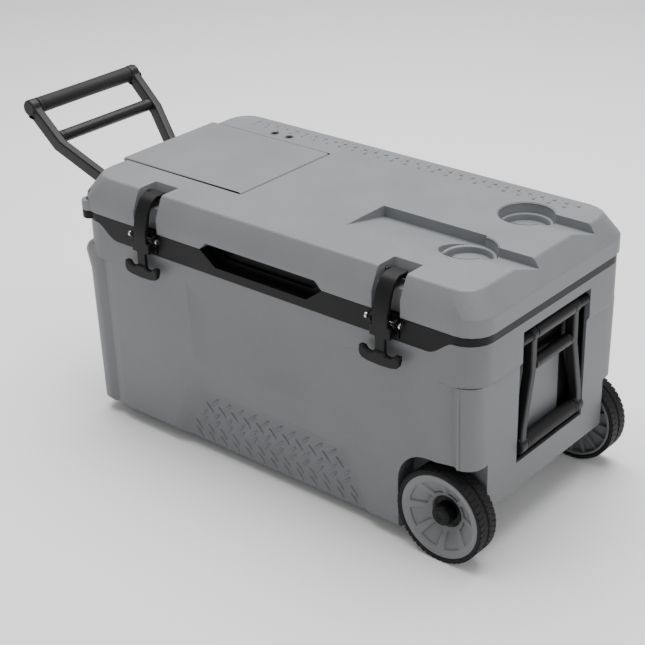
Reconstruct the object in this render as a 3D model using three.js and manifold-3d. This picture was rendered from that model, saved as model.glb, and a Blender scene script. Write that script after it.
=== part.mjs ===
// Cooler on wheels: an insulated tub with a hinged lid, two rubber T-latches, a tow handle,
// a carry handle, two wheels, a lid hatch, cup holders and a phone slot. Millimetres, +Z up.
// The long axis is X with the wheels at +X, the latches face -Y and the lid hinges are at +Y.
import * as THREE from "three";
import { mergeVertices } from "three/addons/utils/BufferGeometryUtils.js";
import Module from "manifold-3d";

const wasm = await Module();
wasm.setup();

// ---- Driving dimensions -------------------------------------------------------------------
const GAP = 0.3; // between pieces that touch
const LENGTH = 738; // lid, end to end
const WIDTH = 370; // lid, front to back
const PARTING_Z = 350; // lower edge of the lid above the ground
const CORNER_R = 38; // plan radius of the lid's and the tub's corners

// Lid
const LID_BAND = 25; // upright band round the lid
const LID_HEIGHT = 57; // from the parting line to the top
const LID_INSET_END = 21; // how far the slope under the top runs in at each end
const LID_INSET_SIDE = 15; // the same at the front and back
const LID_WALL = 3.2;
const LID_PANEL = 4; // inner panel that closes the lid from below
const CUP_R = 40.7;
const CUP_DEPTH = 24;
const CUP_TAPER = 3; // a cup holder is this much smaller in radius at its floor
const CUP_SETBACK = 110; // cup centres from the wheel end of the lid
const CUP_SPACING = 139;
const CUP_MIDDLE_Y = 17.5;
const DRAIN_WIDTH = 46; // drain channel from a cup to the end of the lid
const DRAIN_DEPTH = 14;
const SLOT_LENGTH = 176; // phone slot, from its closed end to the front cup's centre
const SLOT_WIDTH = 87;
const SLOT_DEPTH = 17; // at the back wall: the floor ramps up to nothing at the front
const SLOT_LIP = 44; // from the cup's centre back to the slot's wall
const NOTCH_HALF = 113.5; // finger notch, half its width at the parting line
const NOTCH_SLOPE = 12; // how much narrower the notch is at its top
const NOTCH_RISE = 12;
const EAR_R = 13; // padlock ear at the front left corner
const EAR_HOLE_R = 4.5;
const EAR_HEIGHT = 16;

// Hatch in the lid
const HATCH_LENGTH = 241; // lip to hinge axis
const HATCH_WIDTH = 199;
const HATCH_MIDDLE_Y = 3.5;
const HATCH_LIP = 9; // stands out past the top's edge
const HATCH_PLATE = 8.5;
const HATCH_PROUD = 1.2;
const HATCH_BARREL_R = 5;
const HATCH_PIN_R = 2;
const HATCH_PIN_GRIP = 8; // length of the pin in the lid at each end
const PIN_LUG_HALF = 7;
const PIN_LUG_OUT = 6; // hatch's side to the lug's middle
const HATCH_CLEAR = 2.2; // round the hatch
const TRAY_DEPTH = 24; // compartment below the hatch
const TRAY_LEDGE = 14; // ledge that the hatch rests on
const SCREW_R = 6;
const SCREW_SPACING = 30;
const SCREW_FROM_LIP = 118; // hatch's lip to the first screw
const SCREW_BEHIND = 20; // hatch to the screws

// Rim between the tub and the lid
const RIM_HEIGHT = 12.7;
const SKIRT_DROP = 35; // front skirt below the parting line
const SKIRT_HALF = 311; // half its width at the lower edge
const SKIRT_SLOPE = 45; // run of the sloped ends
const SKIRT_THICK = 9;
const RECESS_DEPTH = 24; // finger recess behind the skirt
const RECESS_DROP = 21; // its floor below the parting line
const RECESS_SLOPE = 28.5; // how much narrower it is at its floor
const RECESS_WALL = 3;
const GASKET_WIDTH = 7;
const GASKET_HEIGHT = 2.5;
const GASKET_INSET = 13; // from the tub's outer face to the gasket's

// Tub
const TUB_BOTTOM_Z = 18;
const TUB_WALL = 3.5;
const TUB_DRAFT = 4; // the sides run in this much from the band to the bottom
const END_DRAFT = 1.5; // the same for the ends
const TUB_BAND = 73; // upright band at the ends, below the parting line
const TUB_BAND_STEP = 4;
const TUB_CHAMFER = 6; // round the bottom
const PANEL_HALF = 303; // raised middle panel on the front and back
const PANEL_RISE = 5.5;
const PANEL_SLOPE = 25; // run of the slope at each end of the panel
const POST_INSET = 1; // corner posts stand this far behind the panel
const POST_SLOPE = 12; // run of the slope on a post's inner side
const POST_RADIUS = 26;
const CRUMB = 1; // cubic millimetres: smaller bodies are crumbs left by a cut
const BUMPER_OUT = 6; // tow end's posts stand out past the band
const BUMPER_SHOULDER = 13; // how far their shoulders stand out
const BUMPER_DROP = 70; // shoulder's height below the parting line
const RELIEF_HALF = 131; // shallow relief in the front panel
const RELIEF_DEPTH = 6;
const RELIEF_SLOPE = 26; // run of its sides
const RELIEF_LOW = 60; // tread plate's recess to the relief
const RELIEF_HIGH = 40; // relief to the skirt's lower edge
const TREAD_TOP = 116; // height of the tread plate recess, front and back
const TREAD_HALF_TOP = 158;
const TREAD_HALF_LOW = 202;
const TREAD_DEPTH = 10;
const TREAD_SLOPE = 26; // run of its sides
const TREAD_SLOPE_TOP = 16; // run of its upper side
const LINER_WALL = 3;
const LINER_DRAFT = 6;
const END_THICK = 41; // lid's end to the liner's outer face
const SIDE_THICK = 45; // lid's side to the liner's outer face
const FLOOR_THICK = 42; // tub's bottom to the liner's outer face
const HUMP_RISE = 10; // liner's raised floor above the underside between the wheels

// Wheels and axle
const WHEEL_R = 69.5;
const WHEEL_WIDTH = 37.5;
const WHEEL_SETBACK = 58; // axle from the lid's wheel end
const WHEEL_PROUD = 2.2; // past the lid's side
const TYRE_THICK = 6.3;
const RIM_LIP = 9; // flat lip round the dish
const HUB_R = 24;
const DISH_DEPTH = 20;
const DISH_RIBS = 8;
const AXLE_R = 6;
const BUSH_THICK = 2.4;
const WASHER_THICK = 2;
const WELL_CLEAR = 4; // wheel's inner face to the well's wall
const WELL_AHEAD = 3; // tyre to the well's front wall
const WELL_ABOVE = 13; // tyre to the well's roof
const ARCH_R = 52;
const UNDER_CLEAR = 2.5; // axle to the underside
const BRACKET_WIDTH = 26;
const BRACKET_LENGTH = 46;
const FOOT_INSET = 34;
const FOOT_LENGTH = 70;
const FOOT_WIDTH = 44;

// Carry handle, at the wheel end
const CARRY_MIDDLE_Y = 6;
const CARRY_PIVOT_DROP = 45; // below the parting line
const CARRY_PIVOT_OUT = -9; // pivot axis from the band's face
const CARRY_HALF_PIVOT = 52;
const CARRY_HALF_GRIP = 71;
const CARRY_POCKET_HALF = 83;
const CARRY_POCKET_DEPTH = 25;
const CARRY_TO_FLOOR = 64; // hanging grip above the underside
const CARRY_ARM = 15;
const CARRY_ARM_THICK = 12.5;
const CARRY_GRIP_R = 11.5;
const CARRY_BAR_R = 9.5;

// Tow handle, at the other end
const TOW_PIVOT_DROP = 51;
const TOW_PIVOT_OUT = -8;
const TOW_HALF_PIVOT = 58;
const TOW_HALF_BEND = 106;
const TOW_HALF_GRIP = 108;
const TOW_POCKET_HALF = 122;
const TOW_POCKET_DEPTH = 33;
const TOW_TO_FLOOR = 37; // folded grip above the tub's bottom
const TOW_RISE_DEG = 37.5; // lower part of the arms, above level
const TOW_BEND_DEG = 5; // upper part of the arms, more
const TOW_STRAIGHT = 24; // arms run parallel this far past the pivot
const TOW_GRIP_REACH = 76; // bend to grip
const TOW_ARM = 22;
const TOW_ARM_THICK = 15;
const TOW_GRIP_R = 13.5;
const TOW_BAR_R = 10.5;
const FINGER_ROOM = 10; // under the hanging carry grip, to the pocket's floor
const HANDLE_ROD_R = 4.5;
const POCKET_WALL = 2.7;
const POCKET_ABOVE = 17; // pivot axis to the pocket's top edge, with the tow handle's room added
const TOW_ABOVE = 29;

// Latches
const LATCH_SPACING = 445;
const LATCH_CHANNEL = 46;
const LATCH_CHANNEL_DEPTH = 12; // into the lid's band
const LATCH_RECESS = 51; // from the lid's side to the back of the recess on top
const LATCH_PIVOT_IN = 33; // pivot from the lid's side
const LATCH_PIVOT_DOWN = 11; // pivot below the lid's top
const LATCH_STRAP = 25;
const LATCH_BARREL_R = 6;
const LATCH_PIN_R = 3;
const LATCH_PIN_GRIP = 8; // length of the pin in the lid at each side
const LATCH_LUG_OUT = 10; // lugs that hold the pin, past the channel
const LATCH_LUG_HALF = 8;
const LATCH_LUG_DROP = 9; // below the pin
const LATCH_T_HALF = 33.5;
const STRAP_THICK = 6;
const KEEPER_DROP = 9; // keeper pin below the parting line
const KEEPER_OUT = 4; // keeper pin in front of the lid's side
const KEEPER_HALF = 22;
const KEEPER_CHEEK = 4.3;
const KEEPER_PLATE = 2;

// Lid hinges
const HINGE_SPACING = 430;
const HINGE_OUT = 8.5; // axis behind the lid's side
const HINGE_UP = 2; // axis above the parting line
const HINGE_R = 6;
const HINGE_PIN_R = 2.5;
const HINGE_LID_HALF = 12;
const HINGE_HALF = 26;
const HINGE_PLATE_DROP = 40;

// Drain plug
const PLUG_SETBACK = 80; // from the tow end of the lid
const PLUG_BORE_R = 8;
const PLUG_TUBE_R = 11;
const PLUG_FLANGE_R = 17;
const PLUG_HEAD_R = 15;

// ---- Derived places ------------------------------------------------------------------------
const END = LENGTH / 2;
const SIDE = WIDTH / 2;
const LID_TOP_Z = PARTING_Z + LID_HEIGHT;
const BAND_TOP_Z = PARTING_Z + LID_BAND;
const TUB_END = END - 3; // the tub's band stands inside the lid's
const TUB_SIDE = SIDE - 1;
const RIM_TOP_Z = PARTING_Z - GAP;
const RIM_LOW_Z = PARTING_Z - RIM_HEIGHT;
const TUB_TOP_Z = RIM_LOW_Z - GAP;
const STEP_Z = PARTING_Z - TUB_BAND;
const SKIRT_Z = PARTING_Z - SKIRT_DROP;
const LINER_END = END - END_THICK;
const LINER_SIDE = SIDE - SIDE_THICK;
const LINER_Z = TUB_BOTTOM_Z + FLOOR_THICK;
const AXLE_X = END - WHEEL_SETBACK;
const AXLE_Z = WHEEL_R;
const WHEEL_OUT = SIDE + WHEEL_PROUD;
const WELL_SIDE = WHEEL_OUT - WHEEL_WIDTH - WELL_CLEAR;
const WELL_X = AXLE_X - WHEEL_R - WELL_AHEAD;
const WELL_Z = AXLE_Z + WHEEL_R + WELL_ABOVE;
const UNDER_Z = AXLE_Z + AXLE_R + UNDER_CLEAR;
const HATCH_LEFT_X = -END + LID_INSET_END - HATCH_LIP;
const HATCH_AXIS_X = HATCH_LEFT_X + HATCH_LENGTH;
const HATCH_TOP_Z = LID_TOP_Z + HATCH_PROUD;
const HATCH_LOW_Z = HATCH_TOP_Z - HATCH_PLATE;
const HATCH_AXIS_Z = HATCH_TOP_Z - HATCH_BARREL_R;
const CUP_X = END - CUP_SETBACK;
const CUP_YS = [CUP_MIDDLE_Y - CUP_SPACING / 2, CUP_MIDDLE_Y + CUP_SPACING / 2];
const EAR_X = -(END - CORNER_R * 0.4);
const EAR_Y = -(SIDE - CORNER_R * 0.32);
const HINGE_Y = SIDE + HINGE_OUT;
const HINGE_Z = PARTING_Z + HINGE_UP;
const KEEPER_Y = -(SIDE + KEEPER_OUT);
const KEEPER_Z = PARTING_Z - KEEPER_DROP;
const BEYOND = 60; // how far a cutting shape runs past the surface it opens

// ---- Materials -----------------------------------------------------------------------------
const finish = (color, roughness, metalness = 0) => ({ color, roughness, metalness });
const GREY_SHELL = finish(0x75777b, 0.62);
const PALE_LINER = finish(0xd4d6d6, 0.45);
const BLACK_TRIM = finish(0x1d1d1f, 0.55);
const BLACK_RUBBER = finish(0x18181a, 0.75);
const CHARCOAL = finish(0x38383a, 0.6);
const STEEL = finish(0xb9babc, 0.28, 1);
const FOAM = finish(0xe6dcae, 0.9);
const WHEEL_GREY = finish(0x66686b, 0.5);

// ---- Shape helpers -------------------------------------------------------------------------
// A closed geometry becomes a solid, turned right side out if its faces point inwards.
function solid(geometry) {
  const bare = geometry.clone();
  for (const name of ["normal", "uv"]) bare.deleteAttribute(name);
  const merged = mergeVertices(bare, 1e-4);
  const build = (order) => {
    const corners = new Uint32Array(merged.index.array.length);
    for (let i = 0; i < corners.length; i += 3)
      order.forEach((from, to) => (corners[i + to] = merged.index.array[i + from]));
    return new wasm.Manifold(
      new wasm.Mesh({
        numProp: 3,
        vertProperties: new Float32Array(merged.attributes.position.array),
        triVerts: corners,
      }),
    );
  };
  const made = build([0, 1, 2]);
  return made.volume() < 0 ? build([0, 2, 1]) : made;
}

const join = (first, ...rest) => rest.reduce((all, one) => all.add(one), first);
const cut = (first, ...rest) => rest.reduce((all, one) => all.subtract(one), first);

// A solid becomes a named mesh with its own material.
function piece(name, shape, look) {
  const raw = shape.simplify(0.004).getMesh();
  const geometry = new THREE.BufferGeometry();
  geometry.setAttribute("position", new THREE.BufferAttribute(raw.vertProperties, 3));
  geometry.setIndex(new THREE.BufferAttribute(raw.triVerts, 1));
  const mesh = new THREE.Mesh(geometry, new THREE.MeshStandardMaterial(look));
  mesh.name = name;
  return mesh;
}

const box = (x0, x1, y0, y1, z0, z1) =>
  solid(
    new THREE.BoxGeometry(x1 - x0, y1 - y0, z1 - z0).translate(
      (x0 + x1) / 2,
      (y0 + y1) / 2,
      (z0 + z1) / 2,
    ),
  );

const shapeOf = (points) => new THREE.Shape(points.map(([a, b]) => new THREE.Vector2(a, b)));
const extruded = (points, depth) =>
  new THREE.ExtrudeGeometry(shapeOf(points), { depth, bevelEnabled: false });

// Outlines in the plane named first, drawn out along the axis named last.
const prismX = (pointsYZ, x0, x1) =>
  solid(extruded(pointsYZ, x1 - x0).rotateY(Math.PI / 2).rotateX(Math.PI / 2).translate(x0, 0, 0));
const prismY = (pointsXZ, y0, y1) =>
  solid(extruded(pointsXZ, y1 - y0).rotateX(Math.PI / 2).translate(0, y1, 0));
const prismZ = (pointsXY, z0, z1) => solid(extruded(pointsXY, z1 - z0).translate(0, 0, z0));

const roundBar = (radius, length, sides) =>
  new THREE.CylinderGeometry(radius, radius, length, sides);
const rodX = (radius, x0, x1, y, z, sides = 20) =>
  solid(roundBar(radius, x1 - x0, sides).rotateZ(Math.PI / 2).translate((x0 + x1) / 2, y, z));
const rodY = (radius, y0, y1, x, z, sides = 20) =>
  solid(roundBar(radius, y1 - y0, sides).translate(x, (y0 + y1) / 2, z));
const rodZ = (radius, z0, z1, x, y, sides = 20) =>
  solid(roundBar(radius, z1 - z0, sides).rotateX(Math.PI / 2).translate(x, y, (z0 + z1) / 2));

const cone = (low, high, z0, z1, x, y, sides) =>
  solid(
    new THREE.CylinderGeometry(high, low, z1 - z0, sides)
      .rotateX(Math.PI / 2)
      .translate(x, y, (z0 + z1) / 2),
  );

// Rings of the same number of points, joined one after the other and capped at both ends.
function loft(rings) {
  const count = rings[0].length;
  const position = rings.flat(2);
  const index = [];
  for (let level = 0; level + 1 < rings.length; level++)
    for (let i = 0; i < count; i++) {
      const a = level * count + i;
      const b = level * count + ((i + 1) % count);
      index.push(a, b, b + count, a, b + count, a + count);
    }
  const last = (rings.length - 1) * count;
  for (let i = 1; i + 1 < count; i++) index.push(0, i + 1, i, last, last + i, last + i + 1);
  const geometry = new THREE.BufferGeometry();
  geometry.setAttribute("position", new THREE.Float32BufferAttribute(position, 3));
  geometry.setIndex(index);
  return solid(geometry);
}

const CORNER_STEPS = 5;
const CUP_SIDES = 32;
const COARSE = 12; // sides of the round clearances in the hidden filling
const COARSE_GROW = 1 / Math.cos(Math.PI / COARSE);
function roundRing(halfX, halfY, radius, z) {
  const ring = [];
  const quadrants = [
    [1, 1],
    [-1, 1],
    [-1, -1],
    [1, -1],
  ];
  quadrants.forEach(([sx, sy], quarter) => {
    for (let i = 0; i <= CORNER_STEPS; i++) {
      const turn = (quarter + i / CORNER_STEPS) * (Math.PI / 2);
      ring.push([
        sx * (halfX - radius) + radius * Math.cos(turn),
        sy * (halfY - radius) + radius * Math.sin(turn),
        z,
      ]);
    }
  });
  return ring;
}
const roundBlock = (halfX, halfY, radius, z0, z1) =>
  loft([roundRing(halfX, halfY, radius, z0), roundRing(halfX, halfY, radius, z1)]);

// Points on an arc from one angle to another, in degrees.
const arc = (cx, cy, radius, from, to, steps = 8) =>
  Array.from({ length: steps + 1 }, (_, i) => {
    const turn = ((from + ((to - from) * i) / steps) * Math.PI) / 180;
    return [cx + radius * Math.cos(turn), cy + radius * Math.sin(turn)];
  });

// ---- Spaces that the tub's shell and its foam both make room for, grown by a wall ----------
function wheelRoom(grow) {
  const left = WELL_X - grow;
  const roof = WELL_Z + grow;
  const radius = ARCH_R + grow;
  const outline = [
    [left, -BEYOND],
    [END + BEYOND, -BEYOND],
    [END + BEYOND, roof],
    ...arc(left + radius, roof - radius, radius, 90, 180),
  ];
  const inner = WELL_SIDE - grow;
  return join(
    prismY(outline, inner, SIDE + BEYOND),
    prismY(outline, -SIDE - BEYOND, -inner),
    box(left, END + BEYOND, -SIDE - BEYOND, SIDE + BEYOND, -BEYOND, UNDER_Z + grow),
  );
}

const CARRY = {
  sign: 1,
  middle: CARRY_MIDDLE_Y,
  x: TUB_END + CARRY_PIVOT_OUT,
  z: PARTING_Z - CARRY_PIVOT_DROP,
  halfPocket: CARRY_POCKET_HALF,
  back: TUB_END - CARRY_POCKET_DEPTH,
  top: PARTING_Z - CARRY_PIVOT_DROP + POCKET_ABOVE,
  low: UNDER_Z + CARRY_TO_FLOOR - CARRY_GRIP_R - FINGER_ROOM,
};
const TOW = {
  sign: -1,
  middle: 0,
  x: -(TUB_END + TOW_PIVOT_OUT),
  z: PARTING_Z - TOW_PIVOT_DROP,
  halfPocket: TOW_POCKET_HALF,
  back: TUB_END - TOW_POCKET_DEPTH,
  top: PARTING_Z - TOW_PIVOT_DROP + TOW_ABOVE,
  low: TUB_BOTTOM_Z + TOW_TO_FLOOR - TOW_GRIP_R - 4,
};

// A pocket in an end wall, as a box that opens outwards.
function pocketRoom(end, grow) {
  const xs = [end.sign * (end.back - grow), end.sign * (END + BEYOND)];
  return box(
    Math.min(...xs),
    Math.max(...xs),
    end.middle - end.halfPocket - grow,
    end.middle + end.halfPocket + grow,
    end.low - grow,
    end.top + grow,
  );
}

// Outline of the rim's front skirt: a flat lower edge with an S-shaped rise at each end.
function skirtOutline(grow) {
  const rise = RIM_LOW_Z + 1 - (SKIRT_Z - grow);
  const half = [];
  const steps = 8;
  for (let i = 0; i <= steps; i++) {
    const share = i / steps;
    const lift = rise * (1 - Math.cos(Math.PI * share)) * 0.5;
    half.push([SKIRT_HALF + grow - SKIRT_SLOPE * (0.5 - share), SKIRT_Z - grow + lift]);
  }
  return [...half, ...half.map(([x, z]) => [-x, z]).reverse()];
}
const recessOutline = (grow) => [
  [-(NOTCH_HALF + grow), PARTING_Z],
  [-(NOTCH_HALF - RECESS_SLOPE + grow), PARTING_Z - RECESS_DROP - grow],
  [NOTCH_HALF - RECESS_SLOPE + grow, PARTING_Z - RECESS_DROP - grow],
  [NOTCH_HALF + grow, PARTING_Z],
];
const rimRoom = (grow) =>
  join(
    prismY(skirtOutline(grow), -TUB_SIDE - BEYOND, -TUB_SIDE + SKIRT_THICK + grow),
    prismY(
      recessOutline(RECESS_WALL + grow),
      -TUB_SIDE - BEYOND,
      -TUB_SIDE + RECESS_DEPTH + RECESS_WALL + grow,
    ),
  );

const PLUG_X = -END + PLUG_SETBACK;
const PLUG_Z = LINER_Z + LINER_WALL + PLUG_TUBE_R + 1;
const drainRoom = (grow) => rodY(PLUG_TUBE_R + grow, 0, SIDE + BEYOND, PLUG_X, PLUG_Z);

const tubRooms = (grow) =>
  join(wheelRoom(grow), pocketRoom(CARRY, grow), pocketRoom(TOW, grow), rimRoom(grow));

// ---- Tub -----------------------------------------------------------------------------------
// Corner posts at one end, as one block: its ends are rounded, its inner sides slope.
function endPosts(sign, inset, levels) {
  const inner = PANEL_HALF + PANEL_SLOPE + inset;
  const radius = POST_RADIUS - inset;
  return loft(
    levels.map(([end, side, z]) => {
      const front = [
        [inner, -(side - PANEL_RISE + POST_INSET)],
        [inner + POST_SLOPE, -side],
        ...arc(end - radius, -(side - radius), radius, -90, 0, 5),
      ];
      const ring = [...front, ...front.map(([x, y]) => [x, -y]).reverse()];
      const turned = sign > 0 ? ring : ring.map(([x, y]) => [-x, -y]);
      return turned.map(([x, y]) => [x, y, z]);
    }),
  );
}

// The tub's outside, shrunk by an inset: a band at the top, drafted walls, raised side panels
// and corner posts. The posts at the tow end stand out past the band and end in a shoulder.
function tubBody(inset, top) {
  const end = TUB_END - inset;
  const side = TUB_SIDE - inset;
  const radius = CORNER_R - inset;
  const bottom = TUB_BOTTOM_Z + inset;
  const low = bottom + TUB_CHAMFER;
  const stepLow = STEP_Z - 6;
  const lowEnd = end - TUB_BAND_STEP;
  const lowSide = side - PANEL_RISE;
  const bottomEnd = lowEnd - END_DRAFT;
  const bottomSide = lowSide - TUB_DRAFT;
  const panelHalf = PANEL_HALF - inset;
  const band = loft([
    roundRing(lowEnd, lowSide, radius, stepLow),
    roundRing(end, side, radius, STEP_Z),
    roundRing(end, side, radius, top),
  ]);
  const lower = loft([
    roundRing(bottomEnd - TUB_CHAMFER, bottomSide - TUB_CHAMFER, radius - TUB_CHAMFER * 0.7, bottom),
    roundRing(bottomEnd, bottomSide, radius, low),
    roundRing(lowEnd, lowSide, radius, stepLow),
    roundRing(lowEnd, lowSide, radius, STEP_Z + 2),
  ]);
  const panelRing = (y, z) => [
    [-panelHalf, -y, z],
    [panelHalf, -y, z],
    [panelHalf + PANEL_SLOPE, -y + PANEL_RISE, z],
    [panelHalf + PANEL_SLOPE, y - PANEL_RISE, z],
    [panelHalf, y, z],
    [-panelHalf, y, z],
    [-panelHalf - PANEL_SLOPE, y - PANEL_RISE, z],
    [-panelHalf - PANEL_SLOPE, -y + PANEL_RISE, z],
  ];
  const panel = loft([
    panelRing(side - TUB_DRAFT - TUB_CHAMFER, bottom),
    panelRing(side - TUB_DRAFT, low),
    panelRing(side, STEP_Z),
  ]);
  const postSide = side - POST_INSET;
  const posts = endPosts(1, inset, [
    [bottomEnd - TUB_CHAMFER, postSide - TUB_DRAFT - TUB_CHAMFER, bottom],
    [bottomEnd, postSide - TUB_DRAFT, low],
    [lowEnd, postSide, stepLow],
    [lowEnd, postSide, STEP_Z - 1],
  ]);
  const bumper = end + BUMPER_OUT;
  const shoulder = PARTING_Z - BUMPER_DROP;
  const bumpers = endPosts(-1, inset, [
    [bumper - END_DRAFT - TUB_CHAMFER, postSide - TUB_DRAFT - TUB_CHAMFER, bottom],
    [bumper - END_DRAFT, postSide - TUB_DRAFT, low],
    [bumper, postSide - 1, shoulder - 30 - inset],
    [end + BUMPER_SHOULDER - 2, postSide - 0.5, shoulder - 8 - inset],
    [end + BUMPER_SHOULDER, postSide - 0.5, shoulder - inset],
    [end + BUMPER_SHOULDER - 4, postSide - 1, shoulder + 8 - inset],
    [end - 2, postSide - 2, shoulder + 16 - inset],
  ]);
  return join(lower, band, panel, posts, bumpers);
}

// Recesses pressed into the front and back: a shallow relief, and below it the tread plate's
// field. Each is moved inwards by a wall to make its backing.
function pressings(inwards) {
  const high = TUB_SIDE - TUB_DRAFT * 0.2;
  const flush = TUB_SIDE - TUB_DRAFT * 0.62;
  const low = TUB_BOTTOM_Z - TUB_CHAMFER - (inwards ? 1 : 0);
  const out = SIDE + BEYOND;
  return [1, -1].flatMap((sign) => {
    const at = (y) => sign * (y - inwards);
    // The share is 0 at the recess's floor and 1 where its sides meet the wall.
    const relief = (share, y) => {
      const spread = RELIEF_SLOPE * (share - 0.5);
      const half = RELIEF_HALF + spread;
      const from = TREAD_TOP + RELIEF_LOW - spread;
      const to = SKIRT_Z - RELIEF_HIGH + spread;
      return [
        [-half, at(y), from],
        [half, at(y), from],
        [half, at(y), to],
        [-half, at(y), to],
      ];
    };
    const field = (share, y) => {
      const back = TREAD_SLOPE * (1 - share) - inwards;
      const to = TREAD_TOP - TREAD_SLOPE_TOP * (1 - share) + inwards;
      return [
        [-TREAD_HALF_LOW + back, at(y), low],
        [TREAD_HALF_LOW - back, at(y), low],
        [TREAD_HALF_TOP - back, at(y), to],
        [-TREAD_HALF_TOP + back, at(y), to],
      ];
    };
    return [
      loft([field(0, flush - TREAD_DEPTH), field(1.1, flush + TREAD_DEPTH * 0.1), field(1.1, out)]),
      loft([relief(0, high - RELIEF_DEPTH), relief(1.15, high + RELIEF_DEPTH * 0.15), relief(1.15, out)]),
    ];
  });
}

// The solid without the crumbs and sealed slivers that crossing cuts can leave at other sizes.
function withoutCrumbs(shape) {
  const bodies = shape.decompose().filter((body) => Math.abs(body.volume()) > CRUMB);
  return bodies.reduce((whole, body) => whole.add(body));
}

function makeTubShell() {
  const outer = tubBody(0, TUB_TOP_Z);
  const walls = join(
    cut(outer, tubBody(TUB_WALL, TUB_TOP_Z + BEYOND)),
    tubRooms(TUB_WALL).intersect(outer),
  );
  const backing = pressings(TUB_WALL).map((room) => room.intersect(outer));
  return piece(
    "tub_shell",
    withoutCrumbs(cut(join(walls, ...backing), ...pressings(0), tubRooms(0), drainRoom(GAP))),
    GREY_SHELL,
  );
}

// The liner's outside, grown by a gap or shrunk by its wall, with a raised floor over the axle.
function linerBody(grow, top) {
  const low = LINER_Z - grow;
  const block = loft([
    roundRing(LINER_END - LINER_DRAFT + grow, LINER_SIDE - LINER_DRAFT + grow, 30, low),
    roundRing(LINER_END + grow, LINER_SIDE + grow, 30, TUB_TOP_Z - 1),
    roundRing(LINER_END + grow, LINER_SIDE + grow, 30, top),
  ]);
  const hump = box(
    WELL_X - TUB_WALL - HUMP_RISE + 4 + grow,
    END,
    -SIDE,
    SIDE,
    low - BEYOND,
    UNDER_Z + HUMP_RISE - grow,
  );
  return cut(block, hump);
}

function makeFoam() {
  return piece(
    "foam_core",
    cut(
      tubBody(TUB_WALL + GAP, TUB_TOP_Z),
      linerBody(GAP, TUB_TOP_Z + BEYOND),
      tubRooms(TUB_WALL + GAP),
      drainRoom(GAP),
      ...pressings(TUB_WALL + GAP),
    ),
    FOAM,
  );
}

function makeLiner() {
  return piece(
    "inner_liner",
    cut(linerBody(0, TUB_TOP_Z), linerBody(-LINER_WALL, TUB_TOP_Z + BEYOND), drainRoom(GAP)),
    PALE_LINER,
  );
}

// ---- Rim -----------------------------------------------------------------------------------
const earHole = () => rodZ(EAR_HOLE_R, PARTING_Z - BEYOND, PARTING_Z + BEYOND, EAR_X, EAR_Y);

function makeRim() {
  const ring = cut(
    roundBlock(TUB_END, TUB_SIDE, CORNER_R, RIM_LOW_Z, RIM_TOP_Z),
    roundBlock(
      LINER_END - LINER_WALL,
      LINER_SIDE - LINER_WALL,
      27,
      RIM_LOW_Z - BEYOND,
      RIM_TOP_Z + BEYOND,
    ),
  );
  const skirt = prismY(skirtOutline(0), -TUB_SIDE, -TUB_SIDE + SKIRT_THICK);
  const pocket = prismY(
    recessOutline(RECESS_WALL),
    -TUB_SIDE,
    -TUB_SIDE + RECESS_DEPTH + RECESS_WALL,
  );
  const above = box(-END, END, -SIDE, SIDE, RIM_TOP_Z, PARTING_Z + BEYOND);
  const fingers = join(
    prismY(recessOutline(0), -TUB_SIDE - BEYOND, -TUB_SIDE + RECESS_DEPTH - 6),
    prismY(
      recessOutline(-5).map(([x, z]) => [x, z + 3]),
      -TUB_SIDE - BEYOND,
      -TUB_SIDE + RECESS_DEPTH,
    ),
  );
  const ear = rodZ(EAR_R, RIM_LOW_Z, RIM_TOP_Z, EAR_X, EAR_Y);
  return piece("rim_frame", cut(join(ring, skirt, pocket, ear), above, fingers, earHole()), BLACK_TRIM);
}

// ---- Lid -----------------------------------------------------------------------------------
// The lid's outside, shrunk by an inset and with its lower edge at a given height.
function lidBody(inset, low) {
  const top = LID_TOP_Z - inset;
  const end = END - inset;
  const side = SIDE - inset;
  const radius = CORNER_R - inset;
  const round = 3;
  return loft([
    roundRing(end - 0.5, side - 0.5, radius, low),
    roundRing(end, side, radius, low + 2),
    roundRing(end, side, radius, BAND_TOP_Z - inset * 0.4),
    roundRing(end - LID_INSET_END + 1.5, side - LID_INSET_SIDE + 1.5, radius, top - round),
    roundRing(end - LID_INSET_END - round, side - LID_INSET_SIDE - round, radius - round, top),
  ]);
}

// A wedge whose floor rises from a full-depth back wall to nothing at the front.
const rampY = (x0, x1, yFront, yBack, depth, grow) =>
  prismX(
    [
      [yFront - grow, LID_TOP_Z - grow + 0.2],
      [yBack + grow, LID_TOP_Z - depth - grow],
      [yBack + grow, LID_TOP_Z + BEYOND],
      [yFront - grow, LID_TOP_Z + BEYOND],
    ],
    x0 - grow,
    x1 + grow,
  );

function topRooms(grow, sides) {
  const wide = sides === COARSE ? COARSE_GROW : 1;
  const cups = CUP_YS.flatMap((y) => [
    cone(
      (CUP_R - CUP_TAPER + grow) * wide,
      (CUP_R + grow) * wide,
      LID_TOP_Z - CUP_DEPTH - grow,
      LID_TOP_Z,
      CUP_X,
      y,
      sides,
    ),
    rodZ((CUP_R + grow) * wide, LID_TOP_Z - 1, LID_TOP_Z + BEYOND, CUP_X, y, sides),
  ]);
  const channels = CUP_YS.map((y) =>
    rampY(CUP_X + CUP_R / 2, END + BEYOND, y + 21 - DRAIN_WIDTH, y + 21, DRAIN_DEPTH, grow),
  );
  const slotBack = CUP_YS[0] + SLOT_LIP;
  const slot = rampY(CUP_X - SLOT_LENGTH, CUP_X, slotBack - SLOT_WIDTH, slotBack, SLOT_DEPTH, grow);
  return [...cups, ...channels, slot];
}

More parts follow.
